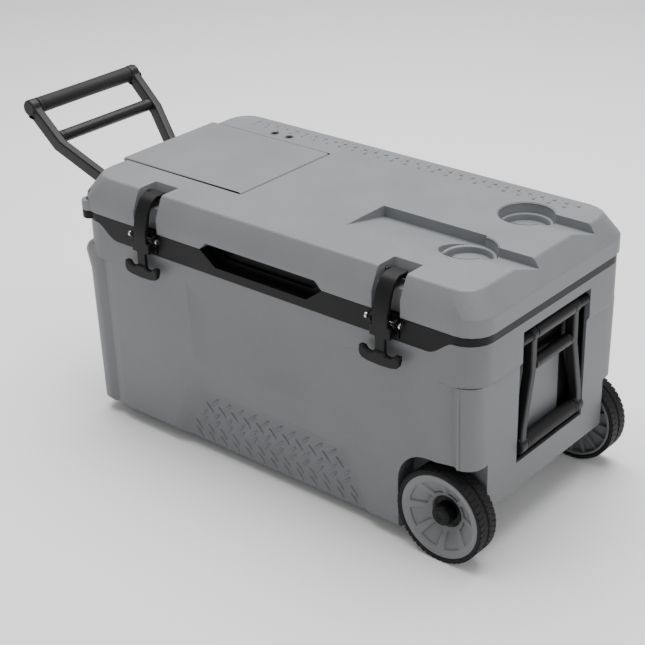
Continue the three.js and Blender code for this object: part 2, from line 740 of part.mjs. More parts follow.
const hatchHalf = HATCH_WIDTH / 2;
const trayX = [HATCH_LEFT_X + HATCH_LIP + TRAY_LEDGE, HATCH_AXIS_X - HATCH_BARREL_R - TRAY_LEDGE];
const trayHalf = hatchHalf - TRAY_LEDGE;
function hatchRooms(grow) {
  const bed = box(
    -END - BEYOND,
    HATCH_AXIS_X,
    HATCH_MIDDLE_Y - hatchHalf - HATCH_CLEAR - grow,
    HATCH_MIDDLE_Y + hatchHalf + HATCH_CLEAR + grow,
    HATCH_LOW_Z - GAP * 2 - grow,
    LID_TOP_Z + BEYOND,
  );
  const trough = box(
    HATCH_AXIS_X - HATCH_BARREL_R - HATCH_CLEAR - grow,
    HATCH_AXIS_X + HATCH_BARREL_R + HATCH_CLEAR + grow,
    HATCH_MIDDLE_Y - hatchHalf - HATCH_CLEAR - grow,
    HATCH_MIDDLE_Y + hatchHalf + HATCH_CLEAR + grow,
    HATCH_AXIS_Z - HATCH_BARREL_R - GAP * 2 - grow,
    LID_TOP_Z + BEYOND,
  );
  const tray = box(
    trayX[0] - grow,
    trayX[1] + grow,
    HATCH_MIDDLE_Y - trayHalf - grow,
    HATCH_MIDDLE_Y + trayHalf + grow,
    HATCH_LOW_Z - TRAY_DEPTH - grow,
    LID_TOP_Z + BEYOND,
  );
  return [bed, trough, tray];
}

// Channel in the lid that a latch lies in, open at the front and on top.
function latchRoom(x, grow) {
  const front = -SIDE - BEYOND;
  return prismX(
    [
      [front, PARTING_Z - BEYOND],
      [-SIDE + LATCH_CHANNEL_DEPTH + grow, PARTING_Z - BEYOND],
      [-SIDE + LATCH_CHANNEL_DEPTH + grow, LID_TOP_Z - 22 - grow],
      [-SIDE + LATCH_RECESS - 6 + grow, LID_TOP_Z - 19 - grow],
      [-SIDE + LATCH_RECESS + grow, LID_TOP_Z + 1],
      [-SIDE + LATCH_RECESS + grow, LID_TOP_Z + BEYOND],
      [front, LID_TOP_Z + BEYOND],
    ],
    x - LATCH_CHANNEL / 2 - grow,
    x + LATCH_CHANNEL / 2 + grow,
  );
}
const latchXs = [-LATCH_SPACING / 2, LATCH_SPACING / 2];
const latchY = -SIDE + LATCH_PIVOT_IN;
const latchZ = LID_TOP_Z - LATCH_PIVOT_DOWN;
const sideName = (x) => (x < 0 ? "left" : "right");

const notchRoom = (grow) =>
  prismY(
    [
      [-NOTCH_HALF - grow, PARTING_Z - BEYOND],
      [-NOTCH_HALF - grow, PARTING_Z],
      [-NOTCH_HALF + NOTCH_SLOPE - grow, PARTING_Z + NOTCH_RISE + grow],
      [NOTCH_HALF - NOTCH_SLOPE + grow, PARTING_Z + NOTCH_RISE + grow],
      [NOTCH_HALF + grow, PARTING_Z],
      [NOTCH_HALF + grow, PARTING_Z - BEYOND],
    ],
    -SIDE - BEYOND,
    -TUB_SIDE + RECESS_DEPTH + grow,
  );

const screwXs = [0, 1].map((i) => HATCH_LEFT_X + SCREW_FROM_LIP + i * SCREW_SPACING);
const screwY = HATCH_MIDDLE_Y + HATCH_WIDTH / 2 + SCREW_BEHIND;
const SCREW_SINK = 3;
const SCREW_SHANK = 12;
const SCREW_SHANK_R = 2.5;
const screwRoom = (x, grow) =>
  join(
    rodZ(SCREW_R + GAP + grow, LID_TOP_Z - SCREW_SINK - grow, LID_TOP_Z + BEYOND, x, screwY, 12),
    rodZ(SCREW_SHANK_R + GAP + grow, LID_TOP_Z - SCREW_SHANK - grow, LID_TOP_Z, x, screwY, 12),
  );

// Wall that the foam and the lid's cavity both leave round every recess.
const lidRooms = (grow, sides = CUP_SIDES) => [
  ...topRooms(grow, sides),
  ...hatchRooms(grow),
  ...latchXs.map((x) => latchRoom(x, grow)),
  ...screwXs.map((x) => screwRoom(x, grow)),
  notchRoom(grow),
];

function makeLid() {
  const outer = lidBody(0, PARTING_Z);
  const cavity = lidBody(LID_WALL, PARTING_Z - BEYOND);
  const walls = lidRooms(LID_WALL).map((room) => room.intersect(outer));
  const lugs = [-1, 1].map((side) =>
    join(
      rodX(
        HINGE_R,
        (side * HINGE_SPACING) / 2 - HINGE_LID_HALF,
        (side * HINGE_SPACING) / 2 + HINGE_LID_HALF,
        HINGE_Y,
        HINGE_Z,
      ),
      prismX(
        [
          [SIDE - 2, PARTING_Z + 1],
          [HINGE_Y, HINGE_Z - 4],
          [HINGE_Y, HINGE_Z + HINGE_R],
          [SIDE - 2, PARTING_Z + 14],
        ],
        (side * HINGE_SPACING) / 2 - HINGE_LID_HALF,
        (side * HINGE_SPACING) / 2 + HINGE_LID_HALF,
      ),
    ),
  );
  const ear = rodZ(EAR_R, PARTING_Z, PARTING_Z + EAR_HEIGHT, EAR_X, EAR_Y);
  const latchBores = latchXs.map((x) =>
    rodX(LATCH_PIN_R + GAP, x - LATCH_CHANNEL, x + LATCH_CHANNEL, latchY, latchZ, 12).intersect(
      box(
        x - LATCH_CHANNEL / 2 - LATCH_PIN_GRIP,
        x + LATCH_CHANNEL / 2 + LATCH_PIN_GRIP,
        -SIDE,
        0,
        0,
        LID_TOP_Z,
      ),
    ),
  );
  const latchLugs = latchXs.map((x) =>
    box(
      x - LATCH_CHANNEL / 2 - LATCH_LUG_OUT,
      x + LATCH_CHANNEL / 2 + LATCH_LUG_OUT,
      latchY - LATCH_LUG_HALF,
      latchY + LATCH_LUG_HALF,
      latchZ - LATCH_LUG_DROP,
      LID_TOP_Z - 1,
    ),
  );
  const pinRoom = rodY(
    HATCH_PIN_R + GAP,
    HATCH_MIDDLE_Y - hatchHalf - HATCH_PIN_GRIP,
    HATCH_MIDDLE_Y + hatchHalf + HATCH_PIN_GRIP,
    HATCH_AXIS_X,
    HATCH_AXIS_Z,
    12,
  );
  const pinLugs = [-1, 1].map((sign) =>
    box(
      HATCH_AXIS_X - PIN_LUG_HALF,
      HATCH_AXIS_X + PIN_LUG_HALF,
      HATCH_MIDDLE_Y + sign * (hatchHalf + PIN_LUG_OUT) - PIN_LUG_HALF,
      HATCH_MIDDLE_Y + sign * (hatchHalf + PIN_LUG_OUT) + PIN_LUG_HALF,
      HATCH_AXIS_Z - PIN_LUG_HALF,
      LID_TOP_Z - 1,
    ),
  );
  const hingeBores = [-1, 1].map((side) =>
    rodX(
      HINGE_PIN_R + GAP,
      (side * HINGE_SPACING) / 2 - BEYOND,
      (side * HINGE_SPACING) / 2 + BEYOND,
      HINGE_Y,
      HINGE_Z,
      12,
    ),
  );
  const body = join(cut(outer, cavity), ...walls, ...latchLugs, ...pinLugs, ...lugs, ear);
  return piece(
    "lid_shell",
    cut(body, ...lidRooms(0), ...latchBores, pinRoom, ...hingeBores, earHole()),
    GREY_SHELL,
  );
}

const gasketGroove = (outset, z0, z1) =>
  cut(
    roundBlock(
      TUB_END - GASKET_INSET + outset,
      TUB_SIDE - GASKET_INSET + outset,
      CORNER_R - GASKET_INSET + outset,
      z0,
      z1,
    ),
    roundBlock(
      TUB_END - GASKET_INSET - GASKET_WIDTH - outset,
      TUB_SIDE - GASKET_INSET - GASKET_WIDTH - outset,
      CORNER_R - GASKET_INSET - GASKET_WIDTH - outset,
      z0 - 1,
      z1 + 1,
    ),
  );

// The gasket bends inwards behind the finger notch and the latch channels.
const frontStrip = -TUB_SIDE + RECESS_DEPTH + LID_WALL + 2;
function gasketRing(outset, z0, z1) {
  const trimmed = cut(
    gasketGroove(outset, z0, z1),
    box(-END, END, -SIDE - BEYOND, frontStrip - outset, z0 - 1, z1 + 1),
  );
  const halfRun = TUB_END - GASKET_INSET + outset;
  const run = box(-halfRun, halfRun, frontStrip - outset, frontStrip + GASKET_WIDTH + outset, z0, z1);
  return join(trimmed, run);
}

// What fills the lid between two heights, clear of the shell's recesses and its padlock ear.
function lidFill(low, high) {
  return cut(
    lidBody(LID_WALL + GAP, low - 2).intersect(box(-END, END, -SIDE, SIDE, low, high)),
    ...lidRooms(LID_WALL + GAP, COARSE),
    rodZ((EAR_R + GAP) * COARSE_GROW, PARTING_Z - 1, LID_TOP_Z, EAR_X, EAR_Y, COARSE),
  );
}

function makeLidInside() {
  const panelTop = PARTING_Z + LID_PANEL;
  const panel = cut(
    lidFill(PARTING_Z, panelTop),
    gasketRing(GAP, PARTING_Z - 1, PARTING_Z + GASKET_HEIGHT + GAP),
  );
  const lugs = latchXs.map((x) =>
    box(
      x - LATCH_CHANNEL / 2 - LATCH_LUG_OUT - GAP,
      x + LATCH_CHANNEL / 2 + LATCH_LUG_OUT + GAP,
      latchY - LATCH_LUG_HALF - GAP,
      latchY + LATCH_LUG_HALF + GAP,
      latchZ - LATCH_LUG_DROP - GAP,
      LID_TOP_Z,
    ),
  );
  const pinLugs = box(
    HATCH_AXIS_X - PIN_LUG_HALF - GAP,
    HATCH_AXIS_X + PIN_LUG_HALF + GAP,
    HATCH_MIDDLE_Y - hatchHalf - PIN_LUG_OUT - PIN_LUG_HALF - GAP,
    HATCH_MIDDLE_Y + hatchHalf + PIN_LUG_OUT + PIN_LUG_HALF + GAP,
    HATCH_AXIS_Z - PIN_LUG_HALF - GAP,
    LID_TOP_Z,
  );
  const foam = cut(lidFill(panelTop + GAP, LID_TOP_Z), ...lugs, pinLugs);
  return [
    piece("lid_panel", panel, PALE_LINER),
    piece("lid_foam", foam, FOAM),
    piece("lid_gasket", gasketRing(0, PARTING_Z, PARTING_Z + GASKET_HEIGHT), BLACK_RUBBER),
  ];
}

// ---- Hatch ---------------------------------------------------------------------------------
function makeHatch() {
  const y0 = HATCH_MIDDLE_Y - hatchHalf;
  const y1 = HATCH_MIDDLE_Y + hatchHalf;
  const lipRound = HATCH_PLATE / 2;
  const profile = [
    ...arc(HATCH_LEFT_X + lipRound, HATCH_LOW_Z + lipRound, lipRound, 90, 270, 6),
    [HATCH_AXIS_X, HATCH_LOW_Z],
    [HATCH_AXIS_X, HATCH_TOP_Z],
  ];
  const bore = rodY(HATCH_PIN_R + GAP, y0 - 1, y1 + 1, HATCH_AXIS_X, HATCH_AXIS_Z, 12);
  const plate = cut(
    join(prismY(profile, y0, y1), rodY(HATCH_BARREL_R, y0, y1, HATCH_AXIS_X, HATCH_AXIS_Z)),
    bore,
  );
  const pin = rodY(
    HATCH_PIN_R,
    y0 - HATCH_PIN_GRIP + 1,
    y1 + HATCH_PIN_GRIP - 1,
    HATCH_AXIS_X,
    HATCH_AXIS_Z,
    12,
  );
  return [piece("hatch_door", plate, GREY_SHELL), piece("hatch_pin", pin, STEEL)];
}

function makeScrews() {
  return screwXs.map((x, i) => {
    const head = rodZ(SCREW_R, LID_TOP_Z - SCREW_SINK + GAP, LID_TOP_Z - 0.4, x, screwY, 12);
    const shank = rodZ(SCREW_SHANK_R, LID_TOP_Z - SCREW_SHANK + GAP, LID_TOP_Z - 1, x, screwY, 12);
    const socket = rodZ(2.6, LID_TOP_Z - 2, LID_TOP_Z + 1, x, screwY, 6);
    return piece("lid_screw_" + (i + 1), cut(join(head, shank), socket), BLACK_TRIM);
  });
}

// ---- Lid hinges ----------------------------------------------------------------------------
function makeHinges() {
  return [-1, 1].flatMap((side) => {
    const x = (side * HINGE_SPACING) / 2;
    const gap = HINGE_LID_HALF + GAP * 2;
    const plateY = TUB_SIDE + GAP;
    const knuckles = [
      [x - HINGE_HALF, x - gap],
      [x + gap, x + HINGE_HALF],
    ].map(([x0, x1]) =>
      join(
        rodX(HINGE_R, x0, x1, HINGE_Y, HINGE_Z),
        prismX(
          [
            [plateY, HINGE_Z - HINGE_PLATE_DROP],
            [plateY + 4, HINGE_Z - HINGE_PLATE_DROP],
            [HINGE_Y + HINGE_R, HINGE_Z - 12],
            [HINGE_Y + HINGE_R, HINGE_Z],
            [HINGE_Y - 2, HINGE_Z],
            [plateY, HINGE_Z - 8],
          ],
          x0,
          x1,
        ),
      ),
    );
    const plate = box(
      x - HINGE_HALF,
      x + HINGE_HALF,
      plateY,
      plateY + 4,
      HINGE_Z - HINGE_PLATE_DROP,
      HINGE_Z - 14,
    );
    const bore = rodX(HINGE_PIN_R + GAP, x - HINGE_HALF - 1, x + HINGE_HALF + 1, HINGE_Y, HINGE_Z, 12);
    const pin = rodX(HINGE_PIN_R, x - HINGE_HALF + 1, x + HINGE_HALF - 1, HINGE_Y, HINGE_Z, 12);
    return [
      piece("hinge_bracket_" + sideName(x), cut(join(plate, ...knuckles), bore), BLACK_TRIM),
      piece("hinge_pin_" + sideName(x), pin, STEEL),
    ];
  });
}

// ---- Latches -------------------------------------------------------------------------------
const strapIn = KEEPER_Y - LATCH_PIN_R - 0.5; // strap's inner face where it passes the keeper pin
const strapOut = strapIn - STRAP_THICK;
const NECK_HALF = 8;
const SADDLE_HALF = 17;
const ANCHOR_DROP = 60; // keeper pin to the T's lower edge

function makeLatch(x) {
  const half = LATCH_STRAP / 2;
  const strap = prismX(
    [
      [latchY, latchZ - 1],
      [latchY, latchZ + LATCH_BARREL_R],
      [-SIDE + 14, latchZ + LATCH_BARREL_R],
      [-SIDE + 3, latchZ],
      [-SIDE - 5.5, latchZ - 15],
      [strapOut, KEEPER_Z + 12],
      [strapOut, KEEPER_Z - ANCHOR_DROP + 6],
      [strapIn, KEEPER_Z - ANCHOR_DROP + 6],
      [strapIn, KEEPER_Z + 8],
      [-SIDE + 1, latchZ - 14],
      [-SIDE + 9, latchZ - 3],
      [-SIDE + 16, latchZ - 1],
    ],
    x - half,
    x + half,
  );
  const barrel = rodX(LATCH_BARREL_R, x - 19, x + 19, latchY, latchZ);
  const saddle = box(x - SADDLE_HALF, x + SADDLE_HALF, strapOut, strapIn, KEEPER_Z - 21, KEEPER_Z - 5);
  const tip = LATCH_T_HALF;
  const low = KEEPER_Z - ANCHOR_DROP;
  const anchor = prismY(
    [
      [x - NECK_HALF, low],
      [x + NECK_HALF, low],
      [x + tip - 7, low + 7],
      [x + tip, low + 12],
      [x + tip, low + 20],
      [x + tip - 8, low + 20],
      [x + tip - 11, low + 15],
      [x + half, low + 13],
      [x - half, low + 13],
      [x - tip + 11, low + 15],
      [x - tip + 8, low + 20],
      [x - tip, low + 20],
      [x - tip, low + 12],
      [x - tip + 7, low + 7],
    ],
    strapOut - 2,
    strapIn,
  );
  const neck = box(x - NECK_HALF, x + NECK_HALF, strapOut, strapIn, low, KEEPER_Z - 10);
  const trims = [-1, 1].map((side) => {
    const xs = [x + side * NECK_HALF, x + side * (half + 1)];
    return box(Math.min(...xs), Math.max(...xs), strapOut - 1, strapIn + 1, low + 13, KEEPER_Z - 21);
  });
  const bore = rodX(LATCH_PIN_R + GAP, x - 30, x + 30, latchY, latchZ, 12);
  const rubber = cut(join(cut(strap, ...trims), barrel, saddle, neck, anchor), bore);
  const reach = LATCH_CHANNEL / 2 + LATCH_PIN_GRIP - 1;
  const pin = rodX(LATCH_PIN_R, x - reach, x + reach, latchY, latchZ, 12);
  return [
    piece("latch_strap_" + sideName(x), rubber, BLACK_RUBBER),
    piece("latch_pivot_" + sideName(x), pin, STEEL),
  ];
}

// A keeper is a plate on the skirt with two cheeks that hold a short steel pin.
function makeKeeper(x) {
  const face = -TUB_SIDE - GAP;
  const plate = box(x - KEEPER_HALF, x + KEEPER_HALF, face - KEEPER_PLATE, face, SKIRT_Z + 4, RIM_TOP_Z - 1);
  const cheekProfile = [
    [face, KEEPER_Z - 13],
    [KEEPER_Y, KEEPER_Z - 7],
    ...arc(KEEPER_Y, KEEPER_Z, 6, 250, 110, 8),
    [face, RIM_TOP_Z - 1],
  ];
  const cheeks = [-1, 1].map((side) => {
    const xs = [x + side * (KEEPER_HALF - KEEPER_CHEEK), x + side * KEEPER_HALF];
    return prismX(cheekProfile, Math.min(...xs), Math.max(...xs));
  });
  const bore = rodX(LATCH_PIN_R + GAP, x - BEYOND, x + BEYOND, KEEPER_Y, KEEPER_Z, 12);
  const pin = rodX(LATCH_PIN_R, x - KEEPER_HALF + 1, x + KEEPER_HALF - 1, KEEPER_Y, KEEPER_Z, 12);
  return [
    piece("keeper_bracket_" + sideName(x), cut(join(plate, ...cheeks), bore), BLACK_TRIM),
    piece("keeper_pin_" + sideName(x), pin, STEEL),
  ];
}

// ---- Handles -------------------------------------------------------------------------------
// Black tray that lines a pocket, with a window in its back and bosses for the handle's rod.
function makePocketTray(name, end, bossFrom) {
  const at = (x) => end.sign * x;
  const span = (x0, x1) => [Math.min(at(x0), at(x1)), Math.max(at(x0), at(x1))];
  const face = TUB_END - TUB_BAND_STEP - TUB_DRAFT;
  const half = end.halfPocket - GAP;
  const [low, high] = [end.low + GAP, end.top - GAP];
  const m = end.middle;
  const outer = box(...span(end.back + GAP, face), m - half, m + half, low, high);
  const inside = box(
    ...span(end.back + GAP + POCKET_WALL, END + BEYOND),
    m - half + POCKET_WALL,
    m + half - POCKET_WALL,
    low + POCKET_WALL,
    high - POCKET_WALL,
  );
  const frame = half * 0.46;
  const window = box(
    ...span(end.back - BEYOND, END + BEYOND),
    m - frame,
    m + frame,
    low + 14,
    end.z - 62,
  );
  const axisX = Math.abs(end.x);
  const bosses = [-1, 1].map((side) => {
    const ys = [m + side * bossFrom, m + side * (half - 1)];
    const web = box(
      ...span(end.back + GAP, axisX),
      Math.min(...ys),
      Math.max(...ys),
      end.z - 9,
      end.z + 9,
    );
    return join(rodY(9, Math.min(...ys), Math.max(...ys), end.x, end.z), web);
  });
  const bore = rodY(HANDLE_ROD_R + GAP, m - half - 1, m + half + 1, end.x, end.z, 12);
  return piece(name, cut(join(cut(outer, inside, window), ...bosses), bore), BLACK_TRIM);
}

// One side arm of a handle: a bar of rectangular section through points given as
// [x, half spacing, z], with an eye at the pivot and a round elbow at the grip.
function makeArm(name, path, side, middle, width, thick, eyeR, elbowR) {
  const spots = path.map(([x, half, z]) => new THREE.Vector3(x, middle + side * half, z));
  const rings = spots.map((spot, i) => {
    const ahead = spots[Math.min(i + 1, spots.length - 1)];
    const behind = spots[Math.max(i - 1, 0)];
    const along = new THREE.Vector3().subVectors(ahead, behind).setY(0).normalize();
    const across = new THREE.Vector3(-along.z, 0, along.x).multiplyScalar(width / 2);
    return [
      [1, 1],
      [1, -1],
      [-1, -1],
      [-1, 1],
    ].map(([a, b]) => [
      spot.x + a * across.x,
      spot.y + (b * thick) / 2,
      spot.z + a * across.z,
    ]);
  });
  const first = spots[0];
  const last = spots[spots.length - 1];
  const eye = rodY(eyeR, first.y - thick / 2, first.y + thick / 2, first.x, first.z);
  const elbow = rodY(elbowR, last.y - thick / 2 - 1, last.y + thick / 2 + 1, last.x, last.z);
  const bore = rodY(HANDLE_ROD_R + GAP, first.y - thick, first.y + thick, first.x, first.z, 12);
  return piece(name, cut(join(loft(rings), eye, elbow), bore), CHARCOAL);
}

// A handle: two arms, a sleeve on the pivot rod, a cross bar and a grip between the arms.
function makeHandle(prefix, end, path, size, barSpot) {
  const m = end.middle;
  const arms = [-1, 1].map((side) =>
    makeArm(
      prefix + (side < 0 ? "_arm_front" : "_arm_back"),
      path,
      side,
      m,
      size.arm,
      size.thick,
      size.eye,
      size.grip,
    ),
  );
  const between = (half) => half - size.thick / 2 - GAP;
  const [barX, barHalf, barZ] = barSpot;
  const [gripX, gripHalf, gripZ] = path[path.length - 1];
  const rod = (radius, half, x, z, sides) => rodY(radius, m - half, m + half, x, z, sides);
  const sleeve = cut(
    rod(size.sleeve, between(path[0][1]), end.x, end.z),
    rod(HANDLE_ROD_R + GAP, END, end.x, end.z, 12),
  );
  return [
    ...arms,
    piece(prefix + "_sleeve", sleeve, CHARCOAL),
    piece(prefix + "_cross_bar", rod(size.bar, between(barHalf), barX, barZ), CHARCOAL),
    piece(prefix + "_grip", rod(size.grip, between(gripHalf) - 1, gripX, gripZ, 32), BLACK_RUBBER),
    piece(
      prefix + "_pivot_rod",
      rod(HANDLE_ROD_R, end.halfPocket - 1.5, end.x, end.z, 12),
      STEEL,
    ),
  ];
}

function makeCarryHandle() {
  const drop = CARRY.z - (UNDER_Z + CARRY_TO_FLOOR);
  const bend = drop * 0.34;
  const path = [
    [CARRY.x, CARRY_HALF_PIVOT, CARRY.z],
    [CARRY.x, CARRY_HALF_PIVOT, CARRY.z - bend],
    [CARRY.x, CARRY_HALF_GRIP - 2, CARRY.z - drop * 0.84],
    [CARRY.x, CARRY_HALF_GRIP, CARRY.z - drop],
  ];
  const size = {
    arm: CARRY_ARM,
    thick: CARRY_ARM_THICK,
    eye: 10.5,
    grip: CARRY_GRIP_R,
    sleeve: 10.5,
    bar: CARRY_BAR_R,
  };
  const barSpot = [CARRY.x, CARRY_HALF_PIVOT, CARRY.z - bend * 0.86];
  return [
    makePocketTray("carry_pocket_tray", CARRY, CARRY_HALF_PIVOT + CARRY_ARM_THICK / 2 + 0.6),
    ...makeHandle("carry", CARRY, path, size, barSpot),
  ];
}

function makeTowHandle() {
  const reach = TOW.z - (TUB_BOTTOM_Z + TOW_TO_FLOOR) - TOW_GRIP_REACH;
  const rise = THREE.MathUtils.degToRad(TOW_RISE_DEG);
  const steep = THREE.MathUtils.degToRad(TOW_RISE_DEG + TOW_BEND_DEG);
  const bendX = TOW.x - reach * Math.cos(rise);
  const bendZ = TOW.z + reach * Math.sin(rise);
  const up = (share) => [
    bendX - TOW_GRIP_REACH * share * Math.cos(steep),
    TOW_HALF_BEND + (TOW_HALF_GRIP - TOW_HALF_BEND) * share,
    bendZ + TOW_GRIP_REACH * share * Math.sin(steep),
  ];
  const straight = [
    TOW.x - TOW_STRAIGHT * Math.cos(rise),
    TOW_HALF_PIVOT,
    TOW.z + TOW_STRAIGHT * Math.sin(rise),
  ];
  const path = [[TOW.x, TOW_HALF_PIVOT, TOW.z], straight, up(0), up(1)];
  const size = {
    arm: TOW_ARM,
    thick: TOW_ARM_THICK,
    eye: 12,
    grip: TOW_GRIP_R,
    sleeve: 11.5,
    bar: TOW_BAR_R,
  };
  return [
    makePocketTray("tow_pocket_tray", TOW, TOW_HALF_PIVOT + TOW_ARM_THICK / 2 + 0.6),
    ...makeHandle("tow", TOW, path, size, up(0.16)),
  ];
}

// ---- Wheels --------------------------------------------------------------------------------
// Wheel parts are made with the outer face at y = 0 and the depth along -Y, then set in place.
const turned = (profile, sides = 36) =>
  solid(new THREE.LatheGeometry(profile.map(([r, depth]) => new THREE.Vector2(r, -depth)), sides));
const ringTurned = (profile, sides) => turned([...profile, profile[0]], sides);
const onAxle = (shape, side) =>
  (side < 0 ? shape.rotate([0, 0, 180]) : shape).translate([AXLE_X, side * WHEEL_OUT, AXLE_Z]);

function makeWheel(side) {
  const place = side < 0 ? "front" : "back";
  const tyreIn = WHEEL_R - TYRE_THICK;
  const hubBore = AXLE_R + BUSH_THICK + GAP;
  const rimR = tyreIn - GAP;
  const inner = WHEEL_WIDTH;
  const tyre = ringTurned([
    [tyreIn, 1],
    [WHEEL_R - 3, 0],
    [WHEEL_R, 4],
    [WHEEL_R, inner - 4],
    [WHEEL_R - 3, inner],
    [tyreIn, inner - 1],
  ]);
  const dish = ringTurned([
    [hubBore, 8],
    [HUB_R - 6, 8],
    [HUB_R, DISH_DEPTH],
    [rimR - RIM_LIP, 3],
    [rimR, 1.2],
    [rimR, inner - 1.5],
    [rimR - 4, inner - 1.5],
    [rimR - 4, DISH_DEPTH + 6],
    [HUB_R, DISH_DEPTH + 5],
    [HUB_R, inner - 2],
    [hubBore, inner - 2],
  ]);
  const ribs = Array.from({ length: DISH_RIBS }, (_, i) =>
    box(HUB_R - 5, rimR - RIM_LIP, -DISH_DEPTH - 2, -8, -1.2, 1.2).rotate([
      0,
      (360 / DISH_RIBS) * (i + 0.5),
      0,
    ]),
  );
  const cap = turned(
    [
      [0, 3.5],
      [9, 3.5],
      [12.5, 6],
      [12.5, 7.6],
      [0, 7.6],
    ],
    32,
  );
  const bush = ringTurned(
    [
      [AXLE_R + GAP, 8.2],
      [AXLE_R + BUSH_THICK, 8.2],
      [AXLE_R + BUSH_THICK, inner - 0.3],
      [AXLE_R + GAP, inner - 0.3],
    ],
    24,
  );
  return [
    piece("tyre_" + place, onAxle(tyre, side), BLACK_RUBBER),
    piece("wheel_rim_" + place, onAxle(join(dish, ...ribs), side), WHEEL_GREY),
    piece("hub_cap_" + place, onAxle(cap, side), BLACK_TRIM),
    piece("axle_bush_" + place, onAxle(bush, side), BLACK_TRIM),
  ];
}

function makeAxle() {
  const half = WHEEL_OUT - 8.4;
  const washers = [-1, 1].map((side) => {
    const inner = WHEEL_OUT - WHEEL_WIDTH - 0.3 - WASHER_THICK;
    const ys = [side * inner, side * (inner + WASHER_THICK)];
    const [y0, y1] = [Math.min(...ys), Math.max(...ys)];
    const ring = cut(
      rodY(12, y0, y1, AXLE_X, AXLE_Z),
      rodY(AXLE_R + GAP, y0 - 1, y1 + 1, AXLE_X, AXLE_Z, 12),
    );
    return piece("axle_washer_" + (side < 0 ? "front" : "back"), ring, STEEL);
  });
  const brackets = [-1, 1].map((side) => {
    const ys = [side * (WELL_SIDE - 6), side * (WELL_SIDE - 6 - BRACKET_WIDTH)];
    const [y0, y1] = [Math.min(...ys), Math.max(...ys)];
    const block = box(
      AXLE_X - BRACKET_LENGTH / 2,
      AXLE_X + BRACKET_LENGTH / 2,
      y0,
      y1,
      AXLE_Z - AXLE_R - 4,
      UNDER_Z - GAP,
    );
    const bore = rodY(AXLE_R + GAP, y0 - 1, y1 + 1, AXLE_X, AXLE_Z, 12);
    return piece("axle_bracket_" + (side < 0 ? "front" : "back"), cut(block, bore), BLACK_TRIM);
  });
  return [
    piece("axle_rod", rodY(AXLE_R, -half, half, AXLE_X, AXLE_Z, 24), STEEL),
    ...washers,
    ...brackets,
  ];
}

function makeFeet() {
  return [-1, 1].map((side) => {
    const x0 = -TUB_END + FOOT_INSET;
    const ys = [side * (TUB_SIDE - FOOT_INSET), side * (TUB_SIDE - FOOT_INSET - FOOT_WIDTH)];
    const [y0, y1] = [Math.min(...ys), Math.max(...ys)];
    const ring = (inset, z) => [
      [x0 + inset, y0 + inset, z],
      [x0 + FOOT_LENGTH - inset, y0 + inset, z],
      [x0 + FOOT_LENGTH - inset, y1 - inset, z],
      [x0 + inset, y1 - inset, z],
    ];
    const pad = loft([ring(4, 0), ring(1, 3), ring(0, TUB_BOTTOM_Z - GAP)]);
    return piece("foot_" + (side < 0 ? "front" : "back"), pad, BLACK_RUBBER);
  });
}

// ---- Drain ---------------------------------------------------------------------------------
function makeDrain() {
  const inner = LINER_SIDE - LINER_WALL - 2;
  const face = TUB_SIDE + GAP;
  const tube = cut(
    join(
      rodY(PLUG_TUBE_R, inner, face + 2.5, PLUG_X, PLUG_Z),
      rodY(PLUG_FLANGE_R, face, face + 2.5, PLUG_X, PLUG_Z),
    ),
    rodY(PLUG_BORE_R, inner - 1, face + 4, PLUG_X, PLUG_Z),
  );
  const washer = cut(
    rodY(PLUG_HEAD_R - 2, face + 2.5 + GAP, face + 4.5, PLUG_X, PLUG_Z),
    rodY(PLUG_BORE_R, face, face + 6, PLUG_X, PLUG_Z),
  );
  const head = face + 4.5 + GAP;
  const wing = box(
    PLUG_X - PLUG_HEAD_R + 3,
    PLUG_X + PLUG_HEAD_R - 3,
    head + 2,
    head + 8,
    PLUG_Z - 2.5,
    PLUG_Z + 2.5,
  );
  const plug = join(
    rodY(PLUG_HEAD_R, head, head + 3, PLUG_X, PLUG_Z, 24),
    rodY(PLUG_BORE_R - GAP, face - 24, head + 1, PLUG_X, PLUG_Z),
    wing,
  );
  return [
    piece("drain_tube", tube, BLACK_TRIM),
    piece("drain_washer", washer, BLACK_RUBBER),
    piece("drain_plug", plug, BLACK_TRIM),
  ];
}

// ---- Assembly ------------------------------------------------------------------------------
const cooler = new THREE.Group();
cooler.add(
  makeTubShell(),
  makeFoam(),
  makeLiner(),
  makeRim(),
  makeLid(),
  ...makeLidInside(),
  ...makeHatch(),
  ...makeScrews(),
  ...makeHinges(),
  ...latchXs.flatMap(makeLatch),
  ...latchXs.flatMap(makeKeeper),
  ...makeTowHandle(),
  ...makeCarryHandle(),
  ...[-1, 1].flatMap(makeWheel),
  ...makeAxle(),
  ...makeFeet(),
  ...makeDrain(),
);

// The origin is the middle of the footprint, on the ground.
const extent = new THREE.Box3().setFromObject(cooler);
const centre = extent.getCenter(new THREE.Vector3());
cooler.position.set(-centre.x, -centre.y, -extent.min.z);

export default cooler;
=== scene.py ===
"""Looks for the cooler on wheels: rounded shells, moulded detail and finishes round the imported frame."""

import logging
import math
from collections.abc import Callable, Iterable
from dataclasses import dataclass, field
from enum import Enum

import bmesh
import bpy
from mathutils import Matrix, Vector


